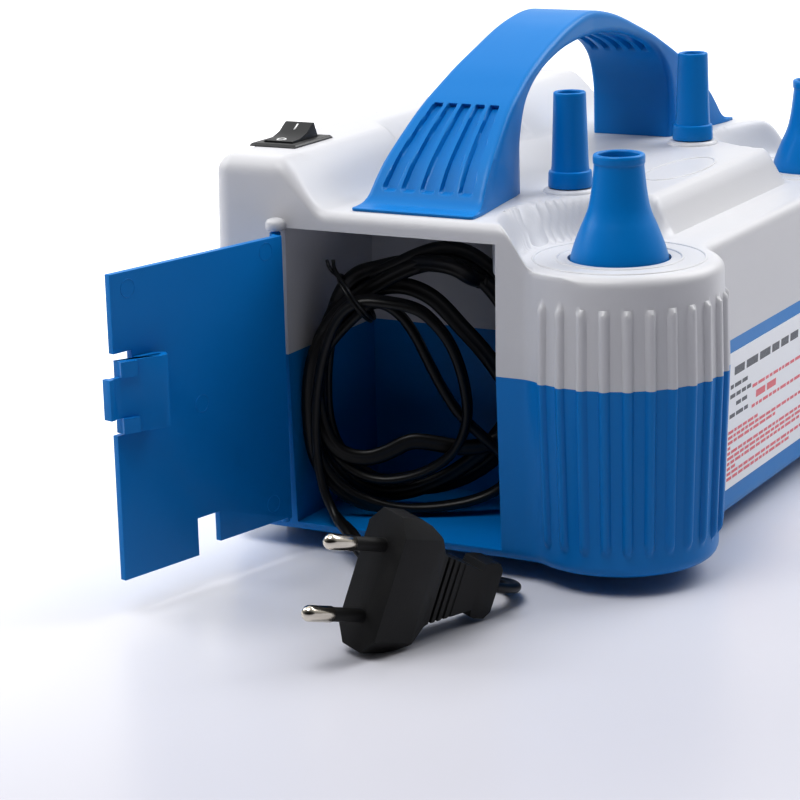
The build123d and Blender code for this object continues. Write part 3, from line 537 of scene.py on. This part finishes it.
def upper_shell_rings(inside=0.0, foot_z=SPLIT_Z, wall_rows=26, rim_rows=9, deck_rows=36):
    """Rings up the wall, round the rim by a quarter circle, and in to a slim oval on the deck."""
    points, normals = pump_outline()

    def inset(distance):
        return points - normals * np.reshape(distance + inside, (-1, 1))

    ridge_part = (top_height(*inset(2.0).T) - DECK_Z - 3) / 8
    rim_radius = RIM_R + RIDGE_RIM_MORE * smooth_step(ridge_part)
    rim_z = top_height(*inset(1.0).T) - rim_radius - inside
    rim_draft = (rim_z - SPLIT_Z) * UPPER_DRAFT
    rings = []
    for t in np.linspace(0, 1, wall_rows):
        z = foot_z + (rim_z - foot_z) * t
        ribs = 0 if inside else rib_rise(points, z, -50.0, 75.5)
        rings.append(np.column_stack([inset((z - SPLIT_Z) * UPPER_DRAFT - ribs), z]))
    for turn in np.linspace(0, math.pi / 2, rim_rows)[1:]:
        at = inset(rim_draft + rim_radius * (1 - math.cos(turn)))
        z = top_height(*at.T) - rim_radius * (1 - math.sin(turn)) - inside
        rings.append(np.column_stack([at, z]))
    edge = rings[-1][:, :2]
    middle = np.column_stack([np.full(len(edge), MIDDLE_X), np.clip(edge[:, 1], *MIDDLE_Y)])
    away = edge - middle
    middle += OVAL_R * away / np.linalg.norm(away, axis=1)[:, None]
    for t in np.linspace(0, 1, deck_rows)[1:]:
        at = edge + (middle - edge) * t
        rings.append(np.column_stack([at, top_height(*at.T) - inside]))
    return np.stack(rings)


def lower_shell_rings(inside=0.0, top_z=SPLIT_Z, bend=3.2):
    """Rings round the bottom edge by a quarter circle and up the leaning wall to the parting line."""
    points, normals = pump_outline()
    base = BASE_Z + inside
    lean = (SPLIT_Z - base - bend) * LOWER_DRAFT
    rings = []
    for turn in np.linspace(0, math.pi / 2, 7)[:-1]:
        at = points - normals * (inside + lean + bend * (1 - math.sin(turn)))
        rings.append(level(at, base + bend * (1 - math.cos(turn))))
    for z in np.linspace(base + bend, top_z, 44):
        ribs = np.zeros(len(points)) if inside else rib_rise(points, z, 12.5, 500.0)
        at = points - normals * (inside + (SPLIT_Z - z) * LOWER_DRAFT - ribs)[:, None]
        rings.append(level(at, z))
    return np.stack(rings)


def cut_away(piece, *cutters):
    """Cuts shapes or objects out of a piece, one after the other, and removes them."""
    for cutter in cutters:
        cutter = plain_object("cutter", *cutter) if isinstance(cutter, tuple) else cutter
        cut = piece.modifiers.new("cut", "BOOLEAN")
        cut.operation, cut.solver, cut.object = "DIFFERENCE", "EXACT", cutter
        bpy.context.view_layer.update()
        result = bpy.data.meshes.new_from_object(piece.evaluated_get(bpy.context.evaluated_depsgraph_get()))
        piece.modifiers.remove(cut)
        piece.data = result
        bpy.data.objects.remove(cutter)


def box_shape(x0, x1, y0, y1, z0, z1):
    """Points and outward faces of a box."""
    verts = np.array([(x, y, z) for x in (x0, x1) for y in (y0, y1) for z in (z0, z1)], float)
    return verts, [[0, 1, 3, 2], [4, 6, 7, 5], [0, 4, 5, 1], [2, 3, 7, 6], [0, 2, 6, 4], [1, 5, 7, 3]]


def prism_shape(outline, z0, z1):
    """Points and faces of an upright prism on an outline that runs anticlockwise."""
    return capped_tube(np.stack([level(outline, z) for z in (z0, z1)]))


def gathered(shapes):
    """Several closed shapes as one list of points and faces."""
    verts, faces, start = [], [], 0
    for shape_verts, shape_faces in shapes:
        verts.append(shape_verts)
        faces += [[k + start for k in face] for face in shape_faces]
        start += len(shape_verts)
    return np.vstack(verts), faces


MOUTH_FRONT, TOWER_CLEAR = FRONT_Y - 12, 5.1


def mouth_shapes(grow):
    """The compartment: a low box, and above it a prism that keeps clear of the front tower's shelf."""
    right, back = grow, MOUTH_DEPTH + grow
    low_roof = SHELF_Z - WALL - 0.8 + grow
    low = box_shape(-MOUTH_W - grow, right, MOUTH_FRONT, back, MOUTH_Z0 - grow, low_roof)
    clear = TOWER_R + TOWER_CLEAR - grow
    reach = math.sqrt(clear**2 - (TOWER_X - right) ** 2)
    turn = math.atan2(reach, TOWER_X - right)
    bow = np.linspace(math.pi + turn, math.pi - turn, 24)
    notch = np.column_stack([TOWER_X + clear * np.cos(bow), TOWER_Y["front"] + clear * np.sin(bow)])
    outline = np.vstack([[(-MOUTH_W - grow, MOUTH_FRONT), (right, MOUTH_FRONT)], notch,
                         [(right, back), (-MOUTH_W - grow, back)]])
    return low, prism_shape(outline, low_roof - 0.2, MOUTH_Z1 + grow)


def well_shapes(radius, low, high):
    """A round well down each tower."""
    side = [(radius, low), (radius, high)]
    return gathered([capped_tube(turned_rings(side, TOWER_X, y)) for y in TOWER_Y.values()])


def shell(name, outer, room, slot, node, well_top, openings):
    """A moulded shell: its skin less the room inside, where the compartment's and towers' walls stay."""
    piece = plain_object(name, *capped_tube(outer))
    hollow = plain_object("room", *capped_tube(room))
    cut_away(hollow, *mouth_shapes(WALL), well_shapes(WELL_R + WALL, -20.0, 120.0))
    cut_away(piece, hollow, *mouth_shapes(0.0), well_shapes(WELL_R, BASE_Z + WALL, well_top), *openings)
    return finished(piece, "root", slot, node, angle=38)


SWITCH_DX, SWITCH_DY, SPIGOT_R, NOZZLE_HOLE_R = 6.3, 9.3, 2.6, 13.35
switch_hole = box_shape(SWITCH_X - SWITCH_DX, SWITCH_X + SWITCH_DX,
                        SWITCH_Y - SWITCH_DY, SWITCH_Y + SWITCH_DY, 95.0, 115.0)
spigot_holes = [capped_tube(turned_rings([(SPIGOT_R, 80.0), (SPIGOT_R, 96.0)], SLIM_X, y, 40))
                for y in SLIM_Y.values()]
upper_shell = shell("upper_shell", upper_shell_rings(), upper_shell_rings(WALL, SPLIT_Z - 4),
                    "grey_abs", "upper_housing", 81.4,
                    [well_shapes(NOZZLE_HOLE_R, 75.0, 96.0), switch_hole, *spigot_holes])
lower_shell = shell("lower_shell", lower_shell_rings(), lower_shell_rings(WALL, SPLIT_Z + 4),
                    "blue_abs", "lower_housing", 80.0, [])
print("shells:", len(upper_shell.data.polygons), "and", len(lower_shell.data.polygons), "faces")

# %% Small mouldings on the upper shell: hinge ear, collars, rings on the towers, oval on the deck
def ring_piece(name, outline, x, y, body, slot, *replaced, around=112):
    """A piece turned from a closed outline, like a ring: nothing to cap."""
    points = turned_rings(outline, x, y, around).reshape(-1, 3)
    faces = grid_faces(len(outline), around, closed_rows=True)
    return new_piece(name, (points, faces), body, slot, *replaced, angle=40)


def wire_loop(name, centre_line, radius, body, slot, around_count=10):
    """A closed round bead along a closed flat line of points."""
    ahead = np.roll(centre_line, -1, 0) - np.roll(centre_line, 1, 0)
    up = np.array([0, 0, 1.0]) if np.ptp(centre_line[:, 2]) < 0.01 else np.cross(ahead[0], ahead[len(ahead) // 4])
    up = up / np.linalg.norm(up)
    side = np.cross(ahead, up)
    side /= np.linalg.norm(side, axis=1)[:, None]
    a = np.linspace(0, 2 * math.pi, around_count, endpoint=False)
    cos_a, sin_a = np.cos(a)[None, :, None], np.sin(a)[None, :, None]
    rings = centre_line[:, None] + radius * (cos_a * side[:, None] + sin_a * up)
    faces = [face[::-1] for face in grid_faces(len(centre_line), around_count, closed_rows=True)]
    return new_piece(name, (rings.reshape(-1, 3), faces), body, slot)


SHELF_RINGS, OVAL_X, OVAL_HALF = (16.2, 22.2), 10.8, (6.9, 20.0)
turns = np.linspace(0, 2 * math.pi, 120, endpoint=False)


def ellipse(x, y, half_x, half_y):
    """Flat points round an ellipse."""
    return np.column_stack([x + half_x * np.cos(turns), y + half_y * np.sin(turns)])


for name, tower_y in TOWER_Y.items():
    for k, radius in enumerate(SHELF_RINGS):
        loop = level(ellipse(TOWER_X, tower_y, radius, radius), SHELF_Z - 0.12)
        wire_loop(f"{name}_tower_ring_{k}", loop, 0.42, "root", "grey_abs")
wire_loop("deck_oval", level(ellipse(OVAL_X, MID_Y, *OVAL_HALF), DECK_Z - 0.1), 0.38, "root", "grey_abs")
COLLAR = [(SPIGOT_R, -0.6), (7.6, -0.6), (7.4, 0.2), (6.9, 0.9), (6.5, 1.05), (4.4, 1.05), (4.4, 5.4),
          (4.1, 6.0), (2.9, 6.0), (SPIGOT_R, 5.7)]
for name, slim_y in SLIM_Y.items():
    ring_piece(f"{name}_collar", np.add(COLLAR, (0, DECK_Z)), SLIM_X, slim_y, "root", "grey_abs", around=64)
EAR = [(2.3, -0.2), (2.7, 0.3), (2.7, 1.7), (2.3, 2.5), (1.3, 2.9)]
ear_shape = capped_tube(turned_rings(np.add(EAR, (0, MOUTH_Z1)), HINGE_X, HINGE_Y + 0.4, 48))
new_piece("hinge_ear", ear_shape, "root", "grey_abs", angle=60)


# %% [markdown]
# ## The handle
#
# A thick arch whose outer curve sweeps out into thin feet, with five tapering slots sunk in the
# outer face of each foot and lengthwise grooves under the crown. It is a section carried from one
# foot to the other: the outer and inner curves give its thickness at each step, and its width
# depends on how far out each point stands, so the feet flare in both views at once.

# %% Outer and inner curves of the handle, and its width
HANDLE_X = -26.5
OUTER_HALF = [(90.0, 94.55), (90.0, 95.3), (88.0, 95.5), (85.0, 96.1), (82.4, 97.8), (79.6, 101.2), (75.2, 105.9),
              (67.6, 112.0), (58.8, 118.2), (50.5, 122.6), (40.0, 127.4), (23.0, 133.4), (11.5, 136.4), (0.0, 137.8)]
INNER_HALF = [(51.0, 94.55), (51.0, 94.9), (51.0, 95.4), (51.0, 96.2), (51.0, 97.4), (51.0, 99.6), (51.0, 103.0),
              (50.8, 108.0), (49.2, 114.4), (45.0, 119.8), (37.4, 124.4), (24.0, 128.6), (12.0, 130.5), (0.0, 131.0)]
REACH_STEPS = [0.0, 30.0, 46.0, 58.0, 70.0, 84.0, 90.0]
WIDTH_STEPS = [10.9, 11.6, 12.5, 13.7, 15.4, 17.6, 18.3]
HANDLE_EDGE, OUTER_COUNT, INNER_COUNT = 1.7, 104, 56
SLOT_FROM, SLOT_FAN_TO, SLOT_TO, SLOT_DEPTH, SLOT_ROUND = 57.5, 81.0, 81.5, 1.7, 0.9
GROOVE_PITCH, GROOVE_HALF, GROOVE_TO, GROOVE_DEPTH, LEAST_WALL = 4.0, 1.15, 46.0, 4.0, 2.4


def whole_arch(half):
    """The half curve and its mirror image as one list from the front foot to the rear foot."""
    front = [(-d, z) for d, z in half]
    return front + [(d, z) for d, z in half[::-1][1:]]


def handle_rings(steps=380):
    """Rounded-rectangle sections between the two curves, with slots and grooves sunk into them."""
    outer, inner = through(whole_arch(OUTER_HALF), steps), through(whole_arch(INNER_HALF), steps)
    centre, across = (outer + inner) / 2, outer - inner
    thickness = np.linalg.norm(across, axis=1)
    direction = across / thickness[:, None]
    outer_side = np.linspace(-1, 1, OUTER_COUNT)
    inner_side = np.linspace(1, -1, INNER_COUNT)
    flank = np.linspace(1, -1, 9)[1:-1]
    u = np.concatenate([outer_side, np.full(len(flank), 1.0), inner_side, np.full(len(flank), -1.0)])
    v = np.concatenate([np.full(OUTER_COUNT, 1.0), flank, np.full(INNER_COUNT, -1.0), -flank])
    on_outer, on_inner = v == 1.0, v == -1.0
    half = thickness[:, None] / 2
    flat = centre[:, None] + direction[:, None] * (v[None, :, None] * half[:, :, None])
    width = np.interp(np.abs(flat[:, :, 0]), REACH_STEPS, WIDTH_STEPS)
    x = u[None, :] * width
    soft = np.minimum(HANDLE_EDGE, half)
    edge_u = np.clip(width - np.abs(x), 0, soft) - soft
    edge_v = np.clip(half - np.abs(v[None, :]) * half, 0, soft) - soft
    pull = np.hypot(edge_u, edge_v)
    over = np.maximum(pull / soft, 1)
    x = np.sign(x) * (np.abs(x) - np.abs(edge_u) * (1 - 1 / over))
    sunk = np.abs(edge_v) * (1 - 1 / over) * np.sign(v)[None, :]
    d = np.abs(centre[:, 0])[:, None]
    out_d = np.abs(outer[:, 0])[:, None]
    slot = np.zeros_like(x)
    along = np.clip((out_d - SLOT_FROM) / (SLOT_FAN_TO - SLOT_FROM), 0, 1)
    for row in range(-2, 3):
        middle = row * (4.15 + 1.45 * along)
        room = 1.35 + 0.65 * along
        past = (np.clip(out_d - (SLOT_TO - SLOT_ROUND), 0, None)
                + np.clip(SLOT_FROM + SLOT_ROUND - out_d, 0, None))
        off = np.hypot(np.clip(np.abs(x - middle) - room + SLOT_ROUND, 0, None), past)
        slot = np.maximum(slot, smooth_step((1.0 - off) / 0.3))
    grooves = np.zeros_like(x)
    for row in range(-2, 3):
        grooves = np.maximum(grooves, smooth_step((GROOVE_HALF - np.abs(x - row * GROOVE_PITCH)) / 0.4))
    grooves *= smooth_step((GROOVE_TO - d) / 3.0)
    groove_depth = np.clip(thickness - LEAST_WALL, 0, GROOVE_DEPTH)[:, None]
    push = sunk + SLOT_DEPTH * slot * on_outer[None, :] - groove_depth * grooves * on_inner[None, :]
    side_view = flat - direction[:, None] * push[:, :, None]
    return np.stack([HANDLE_X + x, MID_Y + side_view[:, :, 0], side_view[:, :, 1]], -1)


handle_shape = capped_tube(handle_rings()[:, ::-1])
new_piece("arch_handle", handle_shape, "root", "blue_abs", "handle", angle=50)
print("handle:", len(handle_shape[1]), "faces")

# %% [markdown]
# ## The nozzles
#
# The wide ones flare like a trumpet bell so that any balloon neck seals on them, and the slim ones
# are tapered tubes on a collar. Both are turned from a smooth curve through a few radii.

# %% Wide press-down nozzles and slim pull-off nozzles
# the springs' foot height and how far a nozzle goes down; the springs themselves keep the packed model's shape
FLANGE_Z, FLANGE_T, SPRING_FOOT_Z, NOZZLE_PRESS = 79.9, 1.45, 63.6, 3.1
FLANGE = [(15.6, FLANGE_Z), (15.6, FLANGE_Z + FLANGE_T), (12.85, FLANGE_Z + 1.5)]
WIDE_SKIN = [(12.85, 81.6), (12.85, 82.5), (12.6, 84.2), (12.0, 86.6), (11.05, 89.3), (9.8, 92.4), (8.7, 94.9),
             (7.85, 97.5), (7.2, 101.0), (6.75, 104.7), (6.45, 107.9), (6.65, 108.7), (6.7, 109.9)]
SLIM_FOOT = [(5.6, 1.25), (5.95, 1.4), (6.0, 1.8), (5.9, 5.1), (5.75, 5.6), (5.2, 5.9)]
SLIM_SKIN = [(5.05, 101.6), (4.9, 105.0), (4.7, 111.0), (4.5, 117.0), (4.4, 120.6)]


def bored(outer, bore_top, bore_bottom, top_z, bottom_z):
    """An outer skin with a rounded rim, a bore and a flat bottom added, as one closed outline."""
    rim_out = outer[-1][0]
    middle = (rim_out + bore_top) / 2
    half = (rim_out - bore_top) / 2
    a = np.linspace(0, math.pi, 9)[1:-1]
    rim = np.column_stack([middle + half * np.cos(a), top_z - half + half * np.sin(a)])
    bore = [(bore_top, top_z - half), (bore_top + 0.1, top_z - half - 6),
            (bore_bottom, bottom_z + 4), (bore_bottom, bottom_z)]
    return np.vstack([outer, rim, bore])


for name in TOWER_Y:
    wide_outline = bored(np.vstack([FLANGE, through(WIDE_SKIN, 60)]), 5.3, 11.4, 110.9, FLANGE_Z)
    ring_piece(f"{name}_trumpet_nozzle", wide_outline, TOWER_X, TOWER_Y[name], f"{name}_nozzle", "blue_abs",
               f"{name}_wide_nozzle")
    finger_x, finger_y = TOWER_X - 18.2, TOWER_Y[name]
    finger = gathered([box_shape(finger_x - 1.6, finger_x + reach, finger_y - 2, finger_y + 2, low, high)
                       for reach, low, high in ((4.5, FLANGE_Z, FLANGE_Z + FLANGE_T),
                                                (1.0, FLANGE_Z - 3.0, FLANGE_Z))])
    new_piece(f"{name}_switch_finger", finger, f"{name}_nozzle", "blue_abs", angle=30)
    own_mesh(nodes[f"{name}_nozzle_spring"])
    slim_skin = np.vstack([np.add(SLIM_FOOT, (0, DECK_Z)), through(SLIM_SKIN, 24)])
    slim_outline = bored(slim_skin, 3.3, 4.5, 121.5, DECK_Z + 1.25)
    ring_piece(f"{name}_tube_nozzle", slim_outline, SLIM_X, SLIM_Y[name], f"{name}_slim", "blue_abs",
               f"{name}_slim_nozzle", around=72)

# %% [markdown]
# ## Door, latch, switch and plug
#
# These are flat-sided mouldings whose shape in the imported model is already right. On the real ones
# no edge is a knife edge, so each gets a copy of its own mesh with the loose triangles joined, the
# flat faces cleaned, and a small bevel that catches the light.

# %% Copies with soft edges
def softened(node, width_mm, slot, angle=32, segments=3):
    """A copy of a node's mesh, joined and cleaned, with every sharp edge rounded by a bevel."""
    source = nodes[node]
    mesh = source.data.copy()
    clean = bmesh.new()
    clean.from_mesh(mesh)
    bmesh.ops.remove_doubles(clean, verts=clean.verts, dist=1e-6)
    bmesh.ops.dissolve_limit(clean, angle_limit=math.radians(0.6), verts=clean.verts, edges=clean.edges)
    for edge in clean.edges:
        edge.smooth = True
    clean.to_mesh(mesh)
    clean.free()
    mesh.name = f"soft_{node}"
    piece = in_scene(f"soft_{node}", mesh)
    bevel = piece.modifiers.new("soft edges", "BEVEL")
    bevel.width, bevel.segments = width_mm * MM, segments
    bevel.limit_method, bevel.angle_limit = "ANGLE", math.radians(angle)
    bevel.harden_normals = True
    mesh.shade_smooth()
    return finished(piece, source["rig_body"], slot, node)


softened("compartment_door", 0.7, "blue_abs")
softened("door_latch", 0.5, "blue_abs")
for node, width, scale in (("switch_case", 0.4, (0.91, 0.91, 0.55)), ("switch_rocker", 0.35, (0.95, 0.95, 1.0))):
    part = softened(node, width, "black_nylon")
    centre = to_frame([(SWITCH_X, SWITCH_Y, RIDGE_Z)])[0]
    coords = np.array([v.co for v in part.data.vertices])
    above = (coords[:, 2] > centre[2] + 0.0001)[:, None]
    part.data.vertices.foreach_set("co", np.where(above, centre + (coords - centre) * scale, coords).ravel())
    part.data.update()
plug = softened("plug_body", 0.7, "black_pvc")
paint(plug, moulded("etched_pvc", "#0C0C0D", "#131314", 0.55, 0.45, 0.12, sheen=0.3))

# %% Plug pins with round tips
def along_plug(points):
    """Points given in the plug's own axes, placed in the pump."""
    return plug_origin + np.asarray(points) @ plug_turn.T


PIN_R, PIN_TIP_R, PIN_END, PIN_DZ = 2.0, 1.9, 19.0, 9.1
tip = np.linspace(0, math.pi / 2, 10)[:-1]
pin_outline = np.vstack([[(-6.0, 1.38), (9.9, 1.38), (10.1, PIN_TIP_R), (10.3, PIN_R)],
                         np.column_stack([PIN_END - PIN_TIP_R + PIN_TIP_R * np.sin(tip),
                                          PIN_R - PIN_TIP_R + PIN_TIP_R * np.cos(tip)])])
a = np.linspace(0, 2 * math.pi, 40, endpoint=False)
pin_shapes = []
for pin_z in (-PIN_DZ, PIN_DZ):
    rings = np.stack([pin_outline[:, 0][:, None] + 0 * a, pin_outline[:, 1][:, None] * np.cos(a),
                      pin_z + pin_outline[:, 1][:, None] * np.sin(a)], -1)
    pin_verts, pin_faces = capped_tube(rings)
    pin_shapes.append((along_plug(pin_verts), pin_faces))
pins = new_piece("round_pins", gathered(pin_shapes), "root", "nickel", "plug_pins", angle=40)

# %% Wire tie round the bundle
TIE_R = 0.5
tie_turn = np.linspace(math.radians(100), math.radians(100 + 720), 96)
tie_up, tie_along = np.array([-0.60, 0.80]), np.array([0.80, 0.60])
tie_flat = np.array([-20.4, 22.6])[None] + np.outer(7.4 * np.sin(tie_turn), tie_up) \
    + np.outer(0.17 * (tie_turn - tie_turn.mean()), tie_along)
tie_deep = -3.4 - 8.2 * np.cos(tie_turn)
ends = [[(-27.6, 33.6, -7.4), (-26.4, 31.2, -8.4)], [(-25.4, 31.2, -8.6), (-25.9, 33.9, -7.8)]]
tie_line = np.vstack([ends[0], np.column_stack([tie_flat, tie_deep])[8:-8], ends[1]])
tie_path = np.array([coil_point(across, deep, up) for across, up, deep in through(tie_line, 300)])
a = np.linspace(0, 2 * math.pi, 12, endpoint=False)
tie_rings = carried(tie_path, TIE_R * np.stack([np.cos(a), np.sin(a)], -1), (0.31, 0.52, 0.79))
tie = new_piece("wire_tie", capped_tube(tie_rings), "root", "black_pvc", "cord_tie")

# %% [markdown]
# ## Small things
#
# The rating label is a white sheet with rows of plain bars where its lines of print would be. The
# rocker has its I and O, the latch has two pads, and the door keeps the faint rings that ejector
# pins leave on a moulding.

# %% Rating label with bars for its lines of print
LABEL_Y, LABEL_Z = (58.0, 132.0), (13.0, 51.5)


def on_right_wall(y0, y1, z0, z1, base, thick):
    """A thin plate on the leaning right wall of the lower shell, from base to base + thick above it."""
    verts, faces = box_shape(base, base + thick, y0, y1, z0, z1)
    verts[:, 0] += RIGHT_X - (SPLIT_Z - verts[:, 2]) * LOWER_DRAFT
    return verts, faces


def words(y0, y1, z, height, shortest, longest, draw):
    """A row of bars of uneven length, as the words of a line look from afar."""
    row, y = [], y0
    while y < y1 - shortest:
        end = min(y + draw.uniform(shortest, longest), y1)
        row.append(on_right_wall(y, end, z, z + height, 0.28, 0.05))
        y = end + 0.55 * height + 0.25
    return row


def ink(name, colour):
    """Flat printing ink with the label's gloss."""
    material, tree, shader, coords = start_material(name, 0.45)
    fade = add(tree, "ShaderNodeTexNoise", Vector=(coords, "Object"), Scale=2500.0, Detail=2.0)
    tone = add(tree, "ShaderNodeMix", {"data_type": "RGBA"}, A=linear(colour), B=linear("#9AA0AA"))
    spots = add(tree, "ShaderNodeMapRange", Value=(fade, "Fac"), _1=0.35, _2=0.9, _3=0.0, _4=0.55)
    tree.links.new(spots.outputs["Result"], tone.inputs["Factor"])
    tree.links.new(tone.outputs["Result"], shader.inputs["Base Color"])
    return material


draw = np.random.default_rng(7)
new_piece("label_sheet", on_right_wall(*LABEL_Y, *LABEL_Z, 0.0, 0.3), "root", "paper_label",
          "rating_label", angle=30)
dark = words(63, 112, 44.8, 2.3, 4.5, 9.0, draw)
for z, y0, y1 in ((41.3, 60.5, 73.0), (38.6, 60.5, 76.0), (35.9, 65.0, 75.5), (33.0, 60.5, 74.0)):
    dark += words(y0, y1, z, 1.1, 2.2, 5.2, draw)
red = words(77, 118, 38.0, 0.9, 1.6, 5.0, draw)
red += words(80, 96, 34.6, 2.0, 5.0, 9.0, draw)
red += words(77, 127, 32.2, 0.9, 1.6, 5.0, draw)
for k, y1 in enumerate((84.0, 129.0, 96.0, 63.0, 129.0, 129.0, 118.0, 66.0, 129.0, 110.0)):
    red += words(60.0, y1, 28.6 - 1.47 * k, 0.85, 1.4, 4.6, draw)
for name, bars, colour in (("label_bars_dark", dark, "#45474E"), ("label_bars_red", red, "#E2606A")):
    paint(new_piece(name, gathered(bars), "root", "paper_label", angle=30), ink(name, colour))

# %% Rocker's I and O, and the ejector rings on the door
rocker_body = nodes["switch_rocker"]["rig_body"]
white_mark = moulded("white_mark", "#E8E8E8", "#E2E2E2", 0.5, 0.5, 0.01)
mark_o = np.column_stack([ellipse(SWITCH_X, SWITCH_Y - 5.1, 1.15, 1.3), RIDGE_Z + 1.42 + 0.06 * np.sin(turns)])
mark_i, mark_faces = box_shape(SWITCH_X - 0.26, SWITCH_X + 0.26, -1.25, 1.25, -0.12, 0.12)
rise = math.atan2(2.2, 3.6)
mark_i = np.column_stack([mark_i[:, 0],
                          SWITCH_Y + 2.8 + mark_i[:, 1] * math.cos(rise) - mark_i[:, 2] * math.sin(rise),
                          RIDGE_Z + 3.7 + mark_i[:, 1] * math.sin(rise) + mark_i[:, 2] * math.cos(rise)])
mark_pieces = [wire_loop("rocker_mark_o", mark_o, 0.2, rocker_body, "black_nylon", 8),
               new_piece("rocker_mark_i", (mark_i, mark_faces), rocker_body, "black_nylon")]
for piece in mark_pieces:
    paint(piece, white_mark)

DOOR_T, DOOR_TURN = 1.8, math.radians(-103.0)
door_body = nodes["compartment_door"]["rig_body"]


def swung(points):
    """Points of the closed door, turned about its hinge to where it stands."""
    x, y = points[:, 0] - HINGE_X, points[:, 1] - HINGE_Y
    return np.column_stack([HINGE_X + x * math.cos(DOOR_TURN) - y * math.sin(DOOR_TURN),
                            HINGE_Y + x * math.sin(DOOR_TURN) + y * math.cos(DOOR_TURN), points[:, 2]])


pads = []
leg = np.array([[-1.0, 3.3], [-5.2, 4.83], [-4.9, 5.75], [-1.2, 4.4], [-0.8, 4.1]])
for low, high in ((48.6, 52.6), (63.0, 67.0)):
    pad_verts, pad_faces = prism_shape(leg[::-1], low, high)
    pads.append((swung(pad_verts), pad_faces))
latch_body = nodes["door_latch"]["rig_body"]
new_piece("latch_pads", gathered(pads), latch_body, "blue_abs", angle=40)
for k, (x, z) in enumerate(((-6.4, 84.5), (-55.2, 85.5), (-54.6, 17.0), (-30.0, 50.0))):
    flat = level(ellipse(x, z, 2.3, 2.3), DOOR_T)[:, [0, 2, 1]]
    wire_loop(f"ejector_ring_{k}", swung(flat), 0.1, door_body, "blue_abs", 6)

# %% [markdown]
# ## Stage, light and view
#
# A white sweep lit from above and behind, as for a catalogue: the room is bright behind the pump
# and dim on the viewer's side, so the front is softly shaded and the compartment nearly black. The
# floor's own colour holds painted shade, darker on the viewer's side, and behind the pump it has a painted glow.

# %% Floor
def along_direction(tree, source, direction):
    """A node that measures how far a vector reaches along a direction."""
    return add(tree, "ShaderNodeVectorMath", {"operation": "DOT_PRODUCT"}, _0=source, _1=direction)


def soft_range(tree, source, start, end, low, high):
    """A node that goes softly from low to high while its source goes from start to end."""
    return add(tree, "ShaderNodeMapRange", {"interpolation_type": "SMOOTHSTEP"}, Value=(source, "Value"),
               _1=start, _2=end, _3=low, _4=high)


floor_mesh = bpy.data.meshes.new("floor")
floor_mesh.from_pydata([(-6, -6, 0), (6, -6, 0), (6, 6, 0), (-6, 6, 0)], [], [[0, 1, 2, 3]])
floor = in_scene("floor", floor_mesh)
floor_material, floor_tree, floor_shader, floor_coords = start_material("white_table_painted_light", 0.32, IOR=1.45)
# painted shade: the table's colour goes from light grey on the viewer's side to white behind the pump, standing in
# for the pump's soft shadow and the fall of the light
reach = along_direction(floor_tree, (floor_coords, "Object"), (-0.70, 0.71, 0.0))
far = soft_range(floor_tree, reach, -0.20, 0.10, 0.0, 1.0)
floor_painted_shade = add(floor_tree, "ShaderNodeMix", {"data_type": "RGBA"}, Factor=(far, "Result"),
                 A=linear("#BFBFC7"), B=linear("#F6F6FA"))
# painted light: behind the pump the table glows a little by emission, so it reads white there without a lamp
painted_glow = soft_range(floor_tree, reach, 0.0, 0.6, 0.0, 0.35)
floor_tree.links.new(floor_painted_shade.outputs["Result"], floor_shader.inputs["Base Color"])
floor_tree.links.new(painted_glow.outputs["Result"], floor_shader.inputs["Emission Strength"])
floor_shader.inputs["Emission Color"].default_value = (1.0, 1.0, 1.0, 1.0)
floor.data.materials.append(floor_material)


# %% Lights
def soft_light(name, place, target, size, watts, colour="#FFFFFF"):
    """A square area light at a place in metres, turned to face a target."""
    data = bpy.data.lights.new(name, "AREA")
    data.shape, data.size, data.energy = "SQUARE", size, watts
    data.color = linear(colour)[:3]
    light = in_scene(name, data)
    light.location = place
    light.rotation_euler = (Vector(target) - Vector(place)).to_track_quat("-Z", "Y").to_euler()


soft_light("key", (-0.12, -0.48, 1.15), (0, 0, 0.05), 0.6, 8.5)
soft_light("back", (0.50, 0.72, 0.95), (0, 0, 0.05), 0.8, 8.5)
soft_light("side", (-0.95, -0.15, 0.70), (0, 0, 0.06), 0.6, 4.0)
world = bpy.data.worlds.new("white room")
world.use_nodes = True
sky = world.node_tree
outward = add(sky, "ShaderNodeTexCoord")
behind = along_direction(sky, (outward, "Generated"), (-0.30, 0.72, 0.62))
strength = soft_range(sky, behind, -0.35, 0.95, 0.015, 0.95)
background = sky.nodes["Background"]
background.inputs["Color"].default_value = (1.0, 1.0, 1.0, 1.0)
sky.links.new(strength.outputs["Result"], background.inputs["Strength"])
bpy.context.scene.world = world
view = bpy.context.scene.view_settings
view.view_transform, view.gamma, view.exposure = "Standard", 0.86, 0.1
